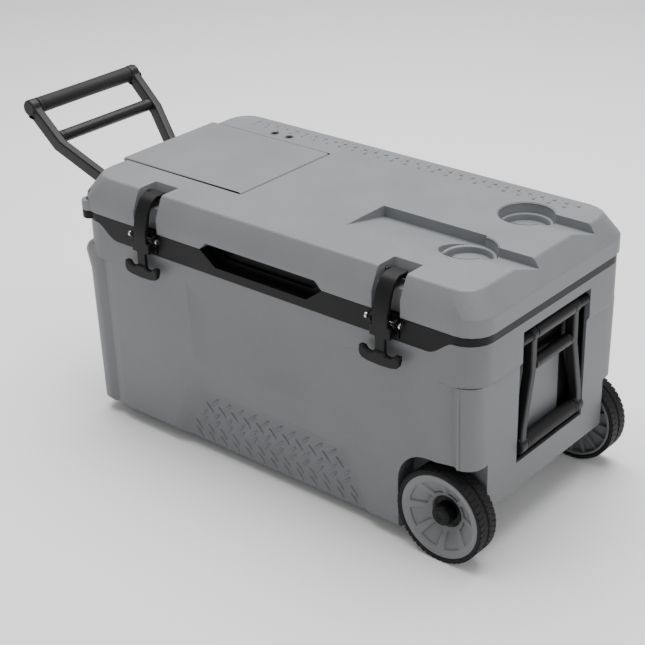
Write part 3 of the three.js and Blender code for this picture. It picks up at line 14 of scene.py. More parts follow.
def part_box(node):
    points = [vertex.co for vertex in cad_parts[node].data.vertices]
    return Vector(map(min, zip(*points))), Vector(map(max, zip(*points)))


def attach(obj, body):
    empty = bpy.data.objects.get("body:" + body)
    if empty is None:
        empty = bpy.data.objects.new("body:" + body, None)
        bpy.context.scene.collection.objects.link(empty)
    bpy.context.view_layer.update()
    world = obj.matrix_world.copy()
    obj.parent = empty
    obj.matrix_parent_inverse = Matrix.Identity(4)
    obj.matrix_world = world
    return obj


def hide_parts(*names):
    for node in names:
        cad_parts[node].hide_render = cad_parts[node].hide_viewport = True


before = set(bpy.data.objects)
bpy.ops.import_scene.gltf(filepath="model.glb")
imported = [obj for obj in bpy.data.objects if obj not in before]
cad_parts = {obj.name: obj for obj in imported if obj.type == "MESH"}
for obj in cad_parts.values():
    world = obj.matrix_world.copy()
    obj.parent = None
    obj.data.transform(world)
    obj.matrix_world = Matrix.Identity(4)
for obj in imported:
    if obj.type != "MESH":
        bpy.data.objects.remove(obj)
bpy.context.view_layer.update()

LOG = logging.getLogger("cooler")
MM = 0.001
FULL_TURN = 2 * math.pi
AXIS = 0.01  # smallest radius of a turned outline, in millimetres
Socket = bpy.types.NodeSocket
Link = "Socket | Wire | float | tuple | None"


# ---- Node trees --------------------------------------------------------------------------------
class Wire:
    """A number in a node tree. Sums on it add Math nodes."""

    def __init__(self, tree: "Tree", socket: Socket) -> None:
        """Wraps an output socket of the tree."""
        self.tree = tree
        self.socket = socket

    def _with(self, operation: str, first: Link, second: Link = None) -> "Wire":
        """Adds one Math node.

        Args:
            operation: The Math node's operation.
            first: Its first value.
            second: Its second value, where it has one.

        Returns:
            The result.
        """
        values = {0: first} if second is None else {0: first, 1: second}
        return self.tree.out("ShaderNodeMath", {"operation": operation}, values)

    def __add__(self, other: Link) -> "Wire":
        """The sum."""
        return self._with("ADD", self, other)

    def __radd__(self, other: Link) -> "Wire":
        """The sum, from the right."""
        return self._with("ADD", other, self)

    def __sub__(self, other: Link) -> "Wire":
        """The difference."""
        return self._with("SUBTRACT", self, other)

    def __rsub__(self, other: Link) -> "Wire":
        """The difference, from the right."""
        return self._with("SUBTRACT", other, self)

    def __mul__(self, other: Link) -> "Wire":
        """The product."""
        return self._with("MULTIPLY", self, other)

    def __rmul__(self, other: Link) -> "Wire":
        """The product, from the right."""
        return self._with("MULTIPLY", other, self)

    def __truediv__(self, other: Link) -> "Wire":
        """The quotient."""
        return self._with("DIVIDE", self, other)

    def __rtruediv__(self, other: Link) -> "Wire":
        """The quotient, from the right."""
        return self._with("DIVIDE", other, self)

    def __mod__(self, other: Link) -> "Wire":
        """The remainder, never below zero."""
        return self._with("FLOORED_MODULO", self, other)

    def __lt__(self, other: Link) -> "Wire":
        """1 where it is less."""
        return self._with("LESS_THAN", self, other)

    def __abs__(self) -> "Wire":
        """The size without its sign."""
        return self._with("ABSOLUTE", self)

    def whole(self) -> "Wire":
        """The nearest whole number."""
        return self._with("ROUND", self)

    def between(self, low: float, high: float) -> "Wire":
        """A smooth rise.

        Args:
            low: Where the rise starts.
            high: Where it ends.

        Returns:
            0 below low, 1 above high and a smooth step between.
        """
        settings = {"interpolation_type": "SMOOTHSTEP"}
        return self.tree.out("ShaderNodeMapRange", settings, {"Value": self, 1: low, 2: high})


class Tree:
    """A node tree that is filled by short calls."""

    def __init__(self, tree: bpy.types.NodeTree) -> None:
        """Wraps a tree as it is."""
        self.tree = tree

    def node(self, kind: str, settings: dict | None = None, values: dict | None = None) -> bpy.types.Node:
        """Adds a node.

        Args:
            kind: The node's type.
            settings: Its own settings, set first.
            values: What its input sockets hold or are linked to, by name or place.

        Returns:
            The new node.
        """
        made = self.tree.nodes.new(kind)
        for name, setting in (settings or {}).items():
            setattr(made, name, setting)
        for name, value in (values or {}).items():
            if isinstance(value, (Wire, Socket)):
                source = value.socket if isinstance(value, Wire) else value
                self.tree.links.new(source, made.inputs[name])
            else:
                made.inputs[name].default_value = value
        return made

    def out(self, kind: str, settings: dict | None = None, values: dict | None = None, port: int = 0) -> Wire:
        """Adds a node and gives one of its outputs as a number.

        Args:
            kind: The node's type.
            settings: Its own settings.
            values: Its inputs.
            port: Which output.

        Returns:
            The output.
        """
        return Wire(self, self.node(kind, settings, values).outputs[port])


# ---- Finishes ----------------------------------------------------------------------------------
def linear(red: int, green: int, blue: int) -> tuple[float, float, float, float]:
    """A colour from screen values.

    Args:
        red: From 0 to 255.
        green: From 0 to 255.
        blue: From 0 to 255.

    Returns:
        The colour in linear light, with full alpha.
    """

    def one(value: int) -> float:
        """One channel in linear light."""
        share = value / 255
        return share / 12.92 if share <= 0.04045 else ((share + 0.055) / 1.055) ** 2.4

    return one(red), one(green), one(blue), 1.0


def shaded(color: tuple, factor: float) -> tuple:
    """The same colour, lighter or darker by a factor."""
    return tuple(channel * factor for channel in color[:3]) + (1.0,)


@dataclass(frozen=True)
class Finish:
    """A moulded or worked surface.

    Attributes:
        name: The material's name.
        slot: The record's material slot.
        color: Its main colour.
        roughness: Its mean roughness.
        metallic: 1 for metal.
        grain: Size of its pebbled grain in metres, or 0.
        relief: Height of the grain in metres.
        blotch: How much the colour drifts over the piece.
        scuff: How much lighter its scuffs are.
        brushed: True for a metal with lines along its length.
        shine: Strength of its plain reflection.
    """

    name: str
    slot: str
    color: tuple
    roughness: float
    metallic: float = 0.0
    grain: float = 0.0012
    relief: float = 0.00012
    blotch: float = 0.08
    scuff: float = 0.1
    brushed: bool = False
    shine: float = 0.5

    def material(self) -> bpy.types.Material:
        """The material, made once.

        Returns:
            The material with its nodes.
        """
        known = bpy.data.materials.get(self.name)
        if known:
            return known
        made = bpy.data.materials.new(self.name)
        made.use_nodes = True
        made.node_tree.nodes.clear()
        tree = Tree(made.node_tree)
        place = tree.node("ShaderNodeTexCoord").outputs["Object"]
        drift = self._noise(tree, place, 9.0, 3.0)
        speck = self._noise(tree, place, 620.0, 2.0)
        scratches = self._scratches(tree, place)
        height = self._height(tree, place)
        shade = drift * 0.55 + speck * 0.45
        colour = self._mix(tree, shade.between(0.3, 0.7), 1 - self.blotch, 1 + self.blotch)
        scuffed = tree.node(
            "ShaderNodeMix",
            {"data_type": "RGBA"},
            {0: scratches * self.scuff, 6: colour, 7: shaded(self.color, 2.2)},
        )
        rough = self.roughness + (drift - 0.5) * 0.14 + scratches * 0.08
        bump = tree.node("ShaderNodeBump", None, {"Strength": 1.0, "Distance": self.relief, "Height": height})
        shader = tree.node(
            "ShaderNodeBsdfPrincipled",
            None,
            {
                "Base Color": scuffed.outputs[2],
                "Metallic": self.metallic,
                "Roughness": rough,
                "Normal": bump.outputs[0],
                "Specular IOR Level": self.shine,
            },
        )
        tree.node("ShaderNodeOutputMaterial", None, {"Surface": shader.outputs[0]})
        made.diffuse_color = self.color
        return made

    def _noise(self, tree: Tree, place: Socket, scale: float, detail: float) -> Wire:
        """Soft noise from 0 to 1 at a scale per metre."""
        return tree.out("ShaderNodeTexNoise", None, {"Vector": place, "Scale": scale, "Detail": detail})

    def _scratches(self, tree: Tree, place: Socket) -> Wire:
        """Sparse scuffs: thin streaks that show only in patches.

        Args:
            tree: The material's tree.
            place: Where on the piece.

        Returns:
            1 on a scuff and 0 off it.
        """
        slanted = tree.node(
            "ShaderNodeMapping", None, {"Vector": place, "Rotation": (0.5, 0.3, 0.9), "Scale": (14, 160, 60)}
        )
        streak = self._noise(tree, slanted.outputs[0], 3.0, 4.0).between(0.62, 0.72)
        return streak * self._noise(tree, place, 24.0, 2.0).between(0.52, 0.68)

    def _height(self, tree: Tree, place: Socket) -> Wire:
        """The grain's height.

        Args:
            tree: The material's tree.
            place: Where on the piece.

        Returns:
            Lines on brushed metal, pebbles where there is a grain, and fine noise elsewhere.
        """
        if self.brushed:
            lines = tree.node("ShaderNodeMapping", None, {"Vector": place, "Scale": (40, 40, 2600)})
            return self._noise(tree, lines.outputs[0], 1.0, 3.0)
        if not self.grain:
            return self._noise(tree, place, 500.0, 2.0)
        pebble = tree.out(
            "ShaderNodeTexVoronoi",
            {"feature": "SMOOTH_F1"},
            {"Vector": place, "Scale": 1 / self.grain, "Smoothness": 0.4},
        )
        return 1 - pebble + self._noise(tree, place, 2.2 / self.grain, 2.0) * 0.5

    def _mix(self, tree: Tree, share: Wire, low: float, high: float) -> Socket:
        """The colour between a darker and a lighter shade."""
        values = {0: share, 6: shaded(self.color, low), 7: shaded(self.color, high)}
        return tree.node("ShaderNodeMix", {"data_type": "RGBA"}, values).outputs[2]


class Look(Enum):
    """The cooler's finishes."""

    SHELL = Finish(
        "Pebbled grey shell", "shell_grey", linear(118, 120, 123), 0.5, grain=0.0021, relief=0.00016
    )
    # The same grey plastic as the lid's shell. Its finer grain is its own, but its colour is darkened to
    # paint in the shade on the tub's upright walls (painted shade).
    SMOOTH_SHELL_IN_PAINTED_SHADE = Finish(
        "Grey tub wall darkened as painted shade", "shell_grey", linear(105, 107, 110), 0.46, grain=0.0016, relief=0.00006
    )
    # The raised ruler marks are the shell's grey plastic, darkened to paint in the shade round their edges
    # (painted shade).
    MARKS_IN_PAINTED_SHADE = Finish("Raised ruler marks darkened as painted shade", "shell_grey", linear(74, 75, 77), 0.5, grain=0.0)
    LINER = Finish(
        "Pale liner", "liner_pale", linear(214, 217, 217), 0.36, grain=0.003, relief=0.00004, blotch=0.03
    )
    TRIM = Finish(
        "Satin black trim", "trim_black", linear(9, 9, 10), 0.42, grain=0.0009, relief=0.00004, shine=0.2
    )
    RUBBER = Finish(
        "Black rubber", "rubber_black", linear(9, 9, 10), 0.5, grain=0.0008, relief=0.00005, shine=0.25
    )
    HANDLE = Finish(
        "Charcoal handle", "handle_charcoal", linear(25, 25, 27), 0.42,
        grain=0.001, relief=0.00006, shine=0.35
    )
    GRIP = Finish(
        "Grip rubber", "rubber_black", linear(26, 26, 28), 0.6, grain=0.0013, relief=0.0001, shine=0.35
    )
    STEEL = Finish("Bright steel", "steel", linear(196, 197, 199), 0.24, 1.0, brushed=True, relief=0.00002)
    FOAM = Finish("Insulating foam", "foam", linear(232, 222, 178), 0.9, grain=0.002, relief=0.0003)
    WHEEL = Finish("Grey wheel", "wheel_grey", linear(112, 114, 116), 0.44, grain=0.0012, relief=0.00005)
    TYRE = Finish(
        "Tyre", "tyre_black", linear(18, 18, 19), 0.66, grain=0.0014, relief=0.0001, scuff=0.2, shine=0.3
    )


# ---- Meshes ------------------------------------------------------------------------------------
@dataclass
class Bounds:
    """The box of a CAD node at rest, in metres."""

    low: Vector
    high: Vector

    @classmethod
    def of(cls, node: str) -> "Bounds":
        """The box of the named node."""
        low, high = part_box(node)
        return cls(Vector(low), Vector(high))

    @property
    def centre(self) -> Vector:
        """Its middle."""
        return (self.low + self.high) / 2

    @property
    def size(self) -> Vector:
        """Its three lengths."""
        return self.high - self.low


def body_middle() -> Vector:
    """The body's middle in plan, from its liner."""
    middle = Bounds.of("inner_liner").centre
    middle.z = 0
    return middle


def to_object(name: str, bm: bmesh.types.BMesh) -> bpy.types.Object:
    """Makes an object from a bmesh, which is freed.

    Args:
        name: The piece's name.
        bm: Its mesh, with its place in it.

    Returns:
        The new object, at the origin.
    """
    mesh = bpy.data.meshes.new(name)
    bm.to_mesh(mesh)
    bm.free()
    made = bpy.data.objects.new(name, mesh)
    bpy.context.scene.collection.objects.link(made)
    return made


def settled(obj: bpy.types.Object) -> bpy.types.Object:
    """Applies the object's modifiers to its mesh.

    Args:
        obj: An object with modifiers.

    Returns:
        The same object with a plain mesh.
    """
    bpy.context.view_layer.update()
    graph = bpy.context.evaluated_depsgraph_get()
    made = obj.evaluated_get(graph)
    plain = bpy.data.meshes.new_from_object(made, preserve_all_data_layers=True, depsgraph=graph)
    obj.modifiers.clear()
    obj.data = plain
    return obj


def smoothed(obj: bpy.types.Object, crease: float = 42.0) -> bpy.types.Object:
    """Shades the mesh smoothly, its large faces staying flat.

    Args:
        obj: The piece.
        crease: Edges that turn more than this many degrees stay sharp.

    Returns:
        The same object.
    """
    bm = bmesh.new()
    bm.from_mesh(obj.data)
    limit = math.radians(crease)
    for face in bm.faces:
        face.smooth = True
    for edge in bm.edges:
        edge.smooth = len(edge.link_faces) == 2 and edge.calc_face_angle(0.0) < limit
    bm.to_mesh(obj.data)
    bm.free()
    weights = obj.modifiers.new("flat faces first", "WEIGHTED_NORMAL")
    weights.keep_sharp = True
    return settled(obj)


def rounded_copy(
    node: str, name: str, width: float, segments: int = 3, turn: float = 32.0
) -> bpy.types.Object:
    """Copies a CAD node and rounds its edges.

    Args:
        node: The CAD node.
        name: The new piece's name.
        width: How far a rounding runs from its edge, in millimetres, or 0 to leave the edges sharp.
        segments: Steps across a rounding.
        turn: Edges that turn more than this many degrees are rounded.

    Returns:
        The rounded piece.
    """
    bm = bmesh.new()
    bm.from_mesh(bpy.data.objects[node].data)
    bmesh.ops.remove_doubles(bm, verts=bm.verts, dist=0.02 * MM)
    if not width:
        return smoothed(to_object(name, bm), turn)
    flat = math.radians(0.7)
    bmesh.ops.dissolve_limit(bm, angle_limit=flat, verts=bm.verts, edges=bm.edges)
    limit = math.radians(turn)
    edges = [e for e in bm.edges if len(e.link_faces) == 2 and e.calc_face_angle(0.0) > limit]
    bmesh.ops.bevel(
        bm,
        geom=edges,
        offset=width * MM,
        offset_type="OFFSET",
        segments=segments,
        profile=0.5,
        affect="EDGES",
        clamp_overlap=False,
        miter_outer="ARC",
    )
    return smoothed(to_object(name, bm))


def turned(
    name: str,
    rings: list[tuple[float, float]],
    steps: int,
    shape: Callable[[float, float, float], tuple[float, float]] | None = None,
) -> bpy.types.Object:
    """Turns a closed outline round the Y axis.

    Args:
        name: The piece's name.
        rings: The outline as radius and depth in millimetres, the last point joining the first.
        steps: Points round each ring.
        shape: Changes a point's radius and depth by its angle, where the piece isn't plainly round.

    Returns:
        The piece, its depth along -Y from the origin.
    """
    bm = bmesh.new()
    levels = []
    for radius, depth in rings:
        ring = []
        for step in range(steps):
            angle = FULL_TURN * step / steps
            r, d = shape(radius, depth, angle) if shape else (radius, depth)
            ring.append(bm.verts.new((r * MM * math.cos(angle), -d * MM, r * MM * math.sin(angle))))
        levels.append(ring)
    for level, ring in enumerate(levels):
        ahead = levels[(level + 1) % len(levels)]
        for step in range(steps):
            after = (step + 1) % steps
            bm.faces.new((ring[step], ring[after], ahead[after], ahead[step]))
    bmesh.ops.remove_doubles(bm, verts=bm.verts, dist=0.002 * MM)
    bmesh.ops.recalc_face_normals(bm, faces=bm.faces)
    return to_object(name, bm)


def plate(name: str, outline: list[tuple[float, float]], thick: float, edge: float) -> bpy.types.Object:
    """Cuts a flat piece from an outline and rounds its edges.

    Args:
        name: The piece's name.
        outline: Its corners in the XZ plane in millimetres, anticlockwise seen from -Y.
        thick: How far it reaches from the origin along -Y.
        edge: Width of its roundings.

    Returns:
        The piece.
    """
    bm = bmesh.new()
    corners = [bm.verts.new((x * MM, 0, z * MM)) for x, z in outline]
    made = bmesh.ops.extrude_face_region(bm, geom=[bm.faces.new(corners)])
    moved = [v for v in made["geom"] if isinstance(v, bmesh.types.BMVert)]
    bmesh.ops.translate(bm, vec=(0, -thick * MM, 0), verts=moved)
    bmesh.ops.recalc_face_normals(bm, faces=bm.faces)
    rims = [e for e in bm.edges if abs(e.verts[0].co.y - e.verts[1].co.y) < 1e-7]
    bmesh.ops.bevel(bm, geom=rims, offset=edge * MM, segments=3, profile=0.5, affect="EDGES")
    return smoothed(to_object(name, bm), 50)


def placed(obj: bpy.types.Object, matrix: Matrix) -> bpy.types.Object:
    """Moves the mesh itself, so that its object stays at the origin."""
    obj.data.transform(matrix)
    obj.data.update()
    return obj


def joined(name: str, parts: Iterable[bpy.types.Object]) -> bpy.types.Object:
    """Joins pieces into one mesh.

    Args:
        name: The new piece's name.
        parts: The pieces, which are removed.

    Returns:
        The joined piece.
    """
    bm = bmesh.new()
    for part in list(parts):
        bm.from_mesh(part.data)
        bpy.data.objects.remove(part)
    return to_object(name, bm)


def dress(obj: bpy.types.Object, look: Look, body: str, *replaced: str) -> bpy.types.Object:
    """Gives a finished piece its finish, its body and the nodes that it stands for.

    Args:
        obj: The piece.
        look: Its finish.
        body: The CAD body that it rides on.
        *replaced: CAD nodes that it stands for.

    Returns:
        The same piece.
    """
    obj.data.materials.clear()
    obj.data.materials.append(look.value.material())
    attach(obj, body)
    if replaced:
        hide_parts(*replaced)
    LOG.info("%s on %s: %d faces", obj.name, body, len(obj.data.polygons))
    return obj


def skin(node: str, look: Look, body: str, width: float, segments: int = 2) -> bpy.types.Object:
    """A rounded copy of a CAD node that stands for it.

    Args:
        node: The CAD node.
        look: Its finish.
        body: The body that it rides on.
        width: Width of its roundings in millimetres.
        segments: Steps across a rounding.

    Returns:
        The piece.
    """
    return dress(rounded_copy(node, node + "_looks", width, segments), look, body, node)


def paint(node: str, look: Look) -> None:
    """Gives a CAD node that is shown as it is its finish."""
    mesh = bpy.data.objects[node].data
    mesh.materials.clear()
    mesh.materials.append(look.value.material())
    LOG.info("%s keeps its CAD shape", node)


# ---- Repeated detail, by Geometry Nodes ---------------------------------------------------------
class Pattern:
    """A Geometry Nodes tree for one kind of repeated detail, with named inputs."""

    def __init__(self, name: str, inputs: dict[str, float | int]) -> None:
        """Starts a tree.

        Args:
            name: The tree's name.
            inputs: Its inputs and their starting values: whole numbers are counts.
        """
        self.group = bpy.data.node_groups.new(name, "GeometryNodeTree")
        self.tree = Tree(self.group)
        face = self.group.interface
        face.new_socket(name="Geometry", in_out="INPUT", socket_type="NodeSocketGeometry")
        face.new_socket(name="Geometry", in_out="OUTPUT", socket_type="NodeSocketGeometry")
        self.names = {}
        for label, value in inputs.items():
            kind = "NodeSocketInt" if isinstance(value, int) else "NodeSocketFloat"
            made = face.new_socket(name=label, in_out="INPUT", socket_type=kind)
            made.default_value = value
            self.names[label] = made.identifier
        finish = face.new_socket(name="Finish", in_out="INPUT", socket_type="NodeSocketMaterial")
        self.names["Finish"] = finish.identifier
        self.start = self.tree.node("NodeGroupInput")

    def value(self, label: str) -> Wire:
        """One of the named inputs."""
        return Wire(self.tree, self.start.outputs[label])

    def vector(self, x: Link = 0.0, y: Link = 0.0, z: Link = 0.0) -> Socket:
        """Three numbers as a vector."""
        return self.tree.node("ShaderNodeCombineXYZ", None, {0: x, 1: y, 2: z}).outputs[0]

    def end(self, points: Socket, shape: Socket, turn: Link, chosen: Link = True) -> None:
        """Sets the shape on the points and finishes the tree.

        Args:
            points: Where the copies go.
            shape: What is copied.
            turn: How each copy is turned.
            chosen: Which points get one.
        """
        values = {"Points": points, "Instance": shape, "Rotation": turn, "Selection": chosen}
        copies = self.tree.node("GeometryNodeInstanceOnPoints", None, values)
        real = self.tree.node("GeometryNodeRealizeInstances", None, {0: copies.outputs[0]})
        values = {"Geometry": real.outputs[0], "Material": self.start.outputs["Finish"]}
        dressed = self.tree.node("GeometryNodeSetMaterial", None, values)
        self.tree.node("NodeGroupOutput", None, {0: dressed.outputs[0]})

    def grow(
        self, name: str, look: Look, base: bpy.types.Mesh | None = None, **inputs: float
    ) -> bpy.types.Object:
        """Runs the tree once.

        Args:
            name: The piece's name.
            look: Its finish.
            base: The mesh that the tree starts from, where it needs one.
            **inputs: Values for the named inputs, with _ for a space.

        Returns:
            The piece with a plain mesh.
        """
        made = bpy.data.objects.new(name, base or bpy.data.meshes.new(name))
        bpy.context.scene.collection.objects.link(made)
        modifier = made.modifiers.new("pattern", "NODES")
        modifier.node_group = self.group
        for label, value in inputs.items():
            modifier[self.names[label.replace("_", " ")]] = value
        modifier[self.names["Finish"]] = look.value.material()
        return settled(made)


def bar_field() -> Pattern:
    """Raised bars in two crossed directions inside a trapezoid, as on tread plate.

    Returns:
        The pattern, in the XY plane, its wide edge at the lower Y.
    """
    start = {
        "Columns": 25, "Rows": 7, "Pitch": 0.015, "Bar Length": 0.02, "Bar Width": 0.005,
        "Bar Height": 0.003, "Half Top": 0.13, "Half Low": 0.18,
    }
    made = Pattern("Tread bars", start)
    tree, value = made.tree, made.value
    pitch = value("Pitch")
    wide, tall = (value("Columns") - 1) * pitch, (value("Rows") - 1) * pitch
    values = {0: wide, 1: tall, 2: value("Columns"), 3: value("Rows")}
    grid = tree.node("GeometryNodeMeshGrid", None, values)
    place = tree.node("ShaderNodeSeparateXYZ", None, {0: tree.node("GeometryNodeInputPosition").outputs[0]})
    x, y = Wire(tree, place.outputs[0]), Wire(tree, place.outputs[1])
    column, row = (x / pitch).whole(), (y / pitch).whole()
    checker = ((column + row) % 2) < 0.5
    share = y / tall + 0.5
    edge = value("Half Low") + (value("Half Top") - value("Half Low")) * share
    chosen = checker * (abs(x) < edge)
    lean = ((row % 2) * 2 - 1) * math.radians(47)
    ball = tree.node("GeometryNodeMeshUVSphere", None, {0: 14, 1: 8, 2: 0.5})
    size = made.vector(value("Bar Length"), value("Bar Width"), value("Bar Height"))
    bar = tree.node("GeometryNodeTransform", None, {"Geometry": ball.outputs[0], "Scale": size})
    smooth = tree.node("GeometryNodeSetShadeSmooth", None, {0: bar.outputs[0]})
    made.end(grid.outputs[0], smooth.outputs[0], made.vector(z=lean), chosen)
    return made


def lug_ring() -> Pattern:
    """Blocks round a tyre.

    Returns:
        The pattern: a ring in the XY plane, whose blocks point outwards.
    """
    start = {
        "Lugs": 40,
        "Radius": 0.068,
        "Lug Length": 0.007,
        "Lug Width": 0.014,
        "Lug Height": 0.002,
        "Phase": 0.0,
        "Skew": 0.0,
    }
    made = Pattern("Tyre lugs", start)
    tree, value = made.tree, made.value
    ring = tree.node("GeometryNodeMeshCircle", None, {0: value("Lugs"), 1: value("Radius")})
    values = {"Geometry": ring.outputs[0], "Rotation": made.vector(z=value("Phase"))}
    turned_ring = tree.node("GeometryNodeTransform", None, values)
    count = tree.out("GeometryNodeInputIndex")
    angle = count / value("Lugs") * FULL_TURN + value("Phase")
    size = made.vector(value("Lug Height"), value("Lug Length"), value("Lug Width"))
    block = tree.node("GeometryNodeMeshCube", None, {0: size})
    values = {"Geometry": block.outputs[0], "Rotation": made.vector(x=value("Skew"))}
    skewed = tree.node("GeometryNodeTransform", None, values)
    made.end(turned_ring.outputs[0], skewed.outputs[0], made.vector(z=angle))
    return made


def tick_row() -> Pattern:
    """Ruler ticks in a row, all of one length.

    Returns:
        The pattern, along +X from the origin.
    """
    start = {"Ticks": 60, "Pitch": 0.01, "Tick Length": 0.003, "Tick Width": 0.0006, "Tick Height": 0.0004}
    made = Pattern("Ruler ticks", start)
    tree, value = made.tree, made.value
    values = {"Count": value("Ticks"), "Offset": made.vector(value("Pitch"))}
    line = tree.node("GeometryNodeMeshLine", {"mode": "OFFSET"}, values)
    size = made.vector(value("Tick Width"), value("Tick Length"), value("Tick Height"))
    bar = tree.node("GeometryNodeMeshCube", None, {0: size})
    made.end(line.outputs[0], bar.outputs[0], (0.0, 0.0, 0.0))
    return made


def stud_set() -> Pattern:
    """Low round screw heads on given points.

    Returns:
        The pattern, whose heads stand along the Y axis.
    """
    made = Pattern("Screw heads", {"Head Radius": 0.0032, "Head Height": 0.0016})
    tree, value = made.tree, made.value
    head = tree.node(
        "GeometryNodeMeshCylinder",
        None,
        {"Vertices": 20, "Radius": value("Head Radius"), "Depth": value("Head Height")},
    )
    values = {0: 20, "Radius": value("Head Radius") * 0.62, "Depth": value("Head Height") * 1.6}
    crown = tree.node("GeometryNodeMeshCylinder", None, values)
    both = tree.node("GeometryNodeJoinGeometry")
    for part in (crown, head):
        tree.tree.links.new(part.outputs[0], both.inputs[0])
    made.end(made.start.outputs[0], both.outputs[0], (math.pi / 2, 0.0, 0.0))
    return made


# ---- Sub-assemblies ----------------------------------------------------------------------------
@dataclass
class Tub:
    """The tub with its liner, rim, tread plate and feet. Sizes in millimetres."""

    tread_top: float = 98
    tread_low: float = 22
    tread_depth: float = 12.48
    bar_pitch: float = 12.7
    feet: tuple[str, ...] = ("foot_front", "foot_back")
    body: str = "tub"

    def build(self) -> None:
        """Makes every piece of the tub."""
        skin("tub_shell", Look.SMOOTH_SHELL_IN_PAINTED_SHADE, self.body, 0)
        skin("inner_liner", Look.LINER, self.body, 1.2)
        skin("rim_frame", Look.TRIM, self.body, 0.7)
        paint("foam_core", Look.FOAM)
        for foot in self.feet:
            skin(foot, Look.RUBBER, self.body, 1.5)
        bars = bar_field()
        for side, name in ((-1, "front"), (1, "back")):
            self._tread(bars, side, "tread_bars_" + name)

    def _tread(self, bars: Pattern, side: int, name: str) -> None:
        """Lays the raised bars on the sunk field of one side.

        Args:
            bars: The bar pattern.
            side: -1 for the latch side, 1 for the hinge side.
            name: The piece's name.
        """
        shell = Bounds.of("tub_shell")
        rows = int((self.tread_top - self.tread_low) / self.bar_pitch) + 1
        made = bars.grow(
            name,
            Look.SMOOTH_SHELL_IN_PAINTED_SHADE,
            Columns=29,
            Rows=rows,
            Pitch=self.bar_pitch * MM,
            Bar_Length=0.0205,
            Bar_Width=0.0048,
            Bar_Height=0.004,
            Half_Top=0.129,
            Half_Low=0.171,
        )
        middle = (self.tread_top + self.tread_low) / 2 * MM
        face = shell.high.y if side > 0 else shell.low.y
        stand = Matrix.Rotation(math.pi / 2, 4, "X")
        face_about = Matrix.Rotation(math.pi if side > 0 else 0, 4, "Z")
        spot = Matrix.Translation((body_middle().x, face - side * self.tread_depth * MM, middle))
        dress(placed(made, spot @ face_about @ stand), Look.SMOOTH_SHELL_IN_PAINTED_SHADE, self.body)


@dataclass
class Ruler:
    """Raised centimetre and inch marks along the lid's back edge. Sizes in millimetres."""

    first: float = -295
    row_y: float = 151
    gap: float = 13
    inch: float = 25.4
    digit: float = 6.2
    proud: float = 0.35
    body: str = "lid"

    def build(self, centre: Vector, top: float) -> None:
        """Makes both rows.

        Args:
            centre: The body's middle in plan.
            top: Height of the lid's top.
        """
        ticks = tick_row()
        pieces = []
        rows = ((self.row_y, 20.0, 31, 2), (self.row_y - self.gap, self.inch, 24, 1))
        for y, pitch, count, step in rows:
            bars = ticks.grow("ticks", Look.MARKS_IN_PAINTED_SHADE, Ticks=count * 2 - 1, Pitch=pitch / 2 * MM)
            spot = (centre.x + self.first * MM, centre.y + (y + 4.2) * MM, top)
            pieces.append(placed(bars, Matrix.Translation(spot)))
            for place in range(count):
                x = centre.x + (self.first + pitch * place) * MM
                pieces.append(self._number(str((place + 1) * step), x, centre.y + (y - 2.6) * MM, top))
        dress(joined("ruler_marks", pieces), Look.MARKS_IN_PAINTED_SHADE, self.body)

    def _number(self, words: str, x: float, y: float, z: float) -> bpy.types.Object:
        """One number.

        Args:
            words: Its digits.
            x: Its middle.
            y: Its middle.
            z: The surface that it stands on.

        Returns:
            The number as a mesh.
        """
        curve = bpy.data.curves.new("number", "FONT")
        curve.body = words
        curve.size = self.digit * MM
        curve.extrude = self.proud * MM
        curve.resolution_u = 2
        curve.align_x, curve.align_y = "CENTER", "CENTER"
        made = bpy.data.objects.new("number", curve)
        bpy.context.scene.collection.objects.link(made)
        bpy.context.view_layer.update()
        mesh = bpy.data.meshes.new_from_object(made)
        bpy.data.objects.remove(made)
        plain = bpy.data.objects.new("number", mesh)
        bpy.context.scene.collection.objects.link(plain)
        return placed(plain, Matrix.Translation((x, y, z)))


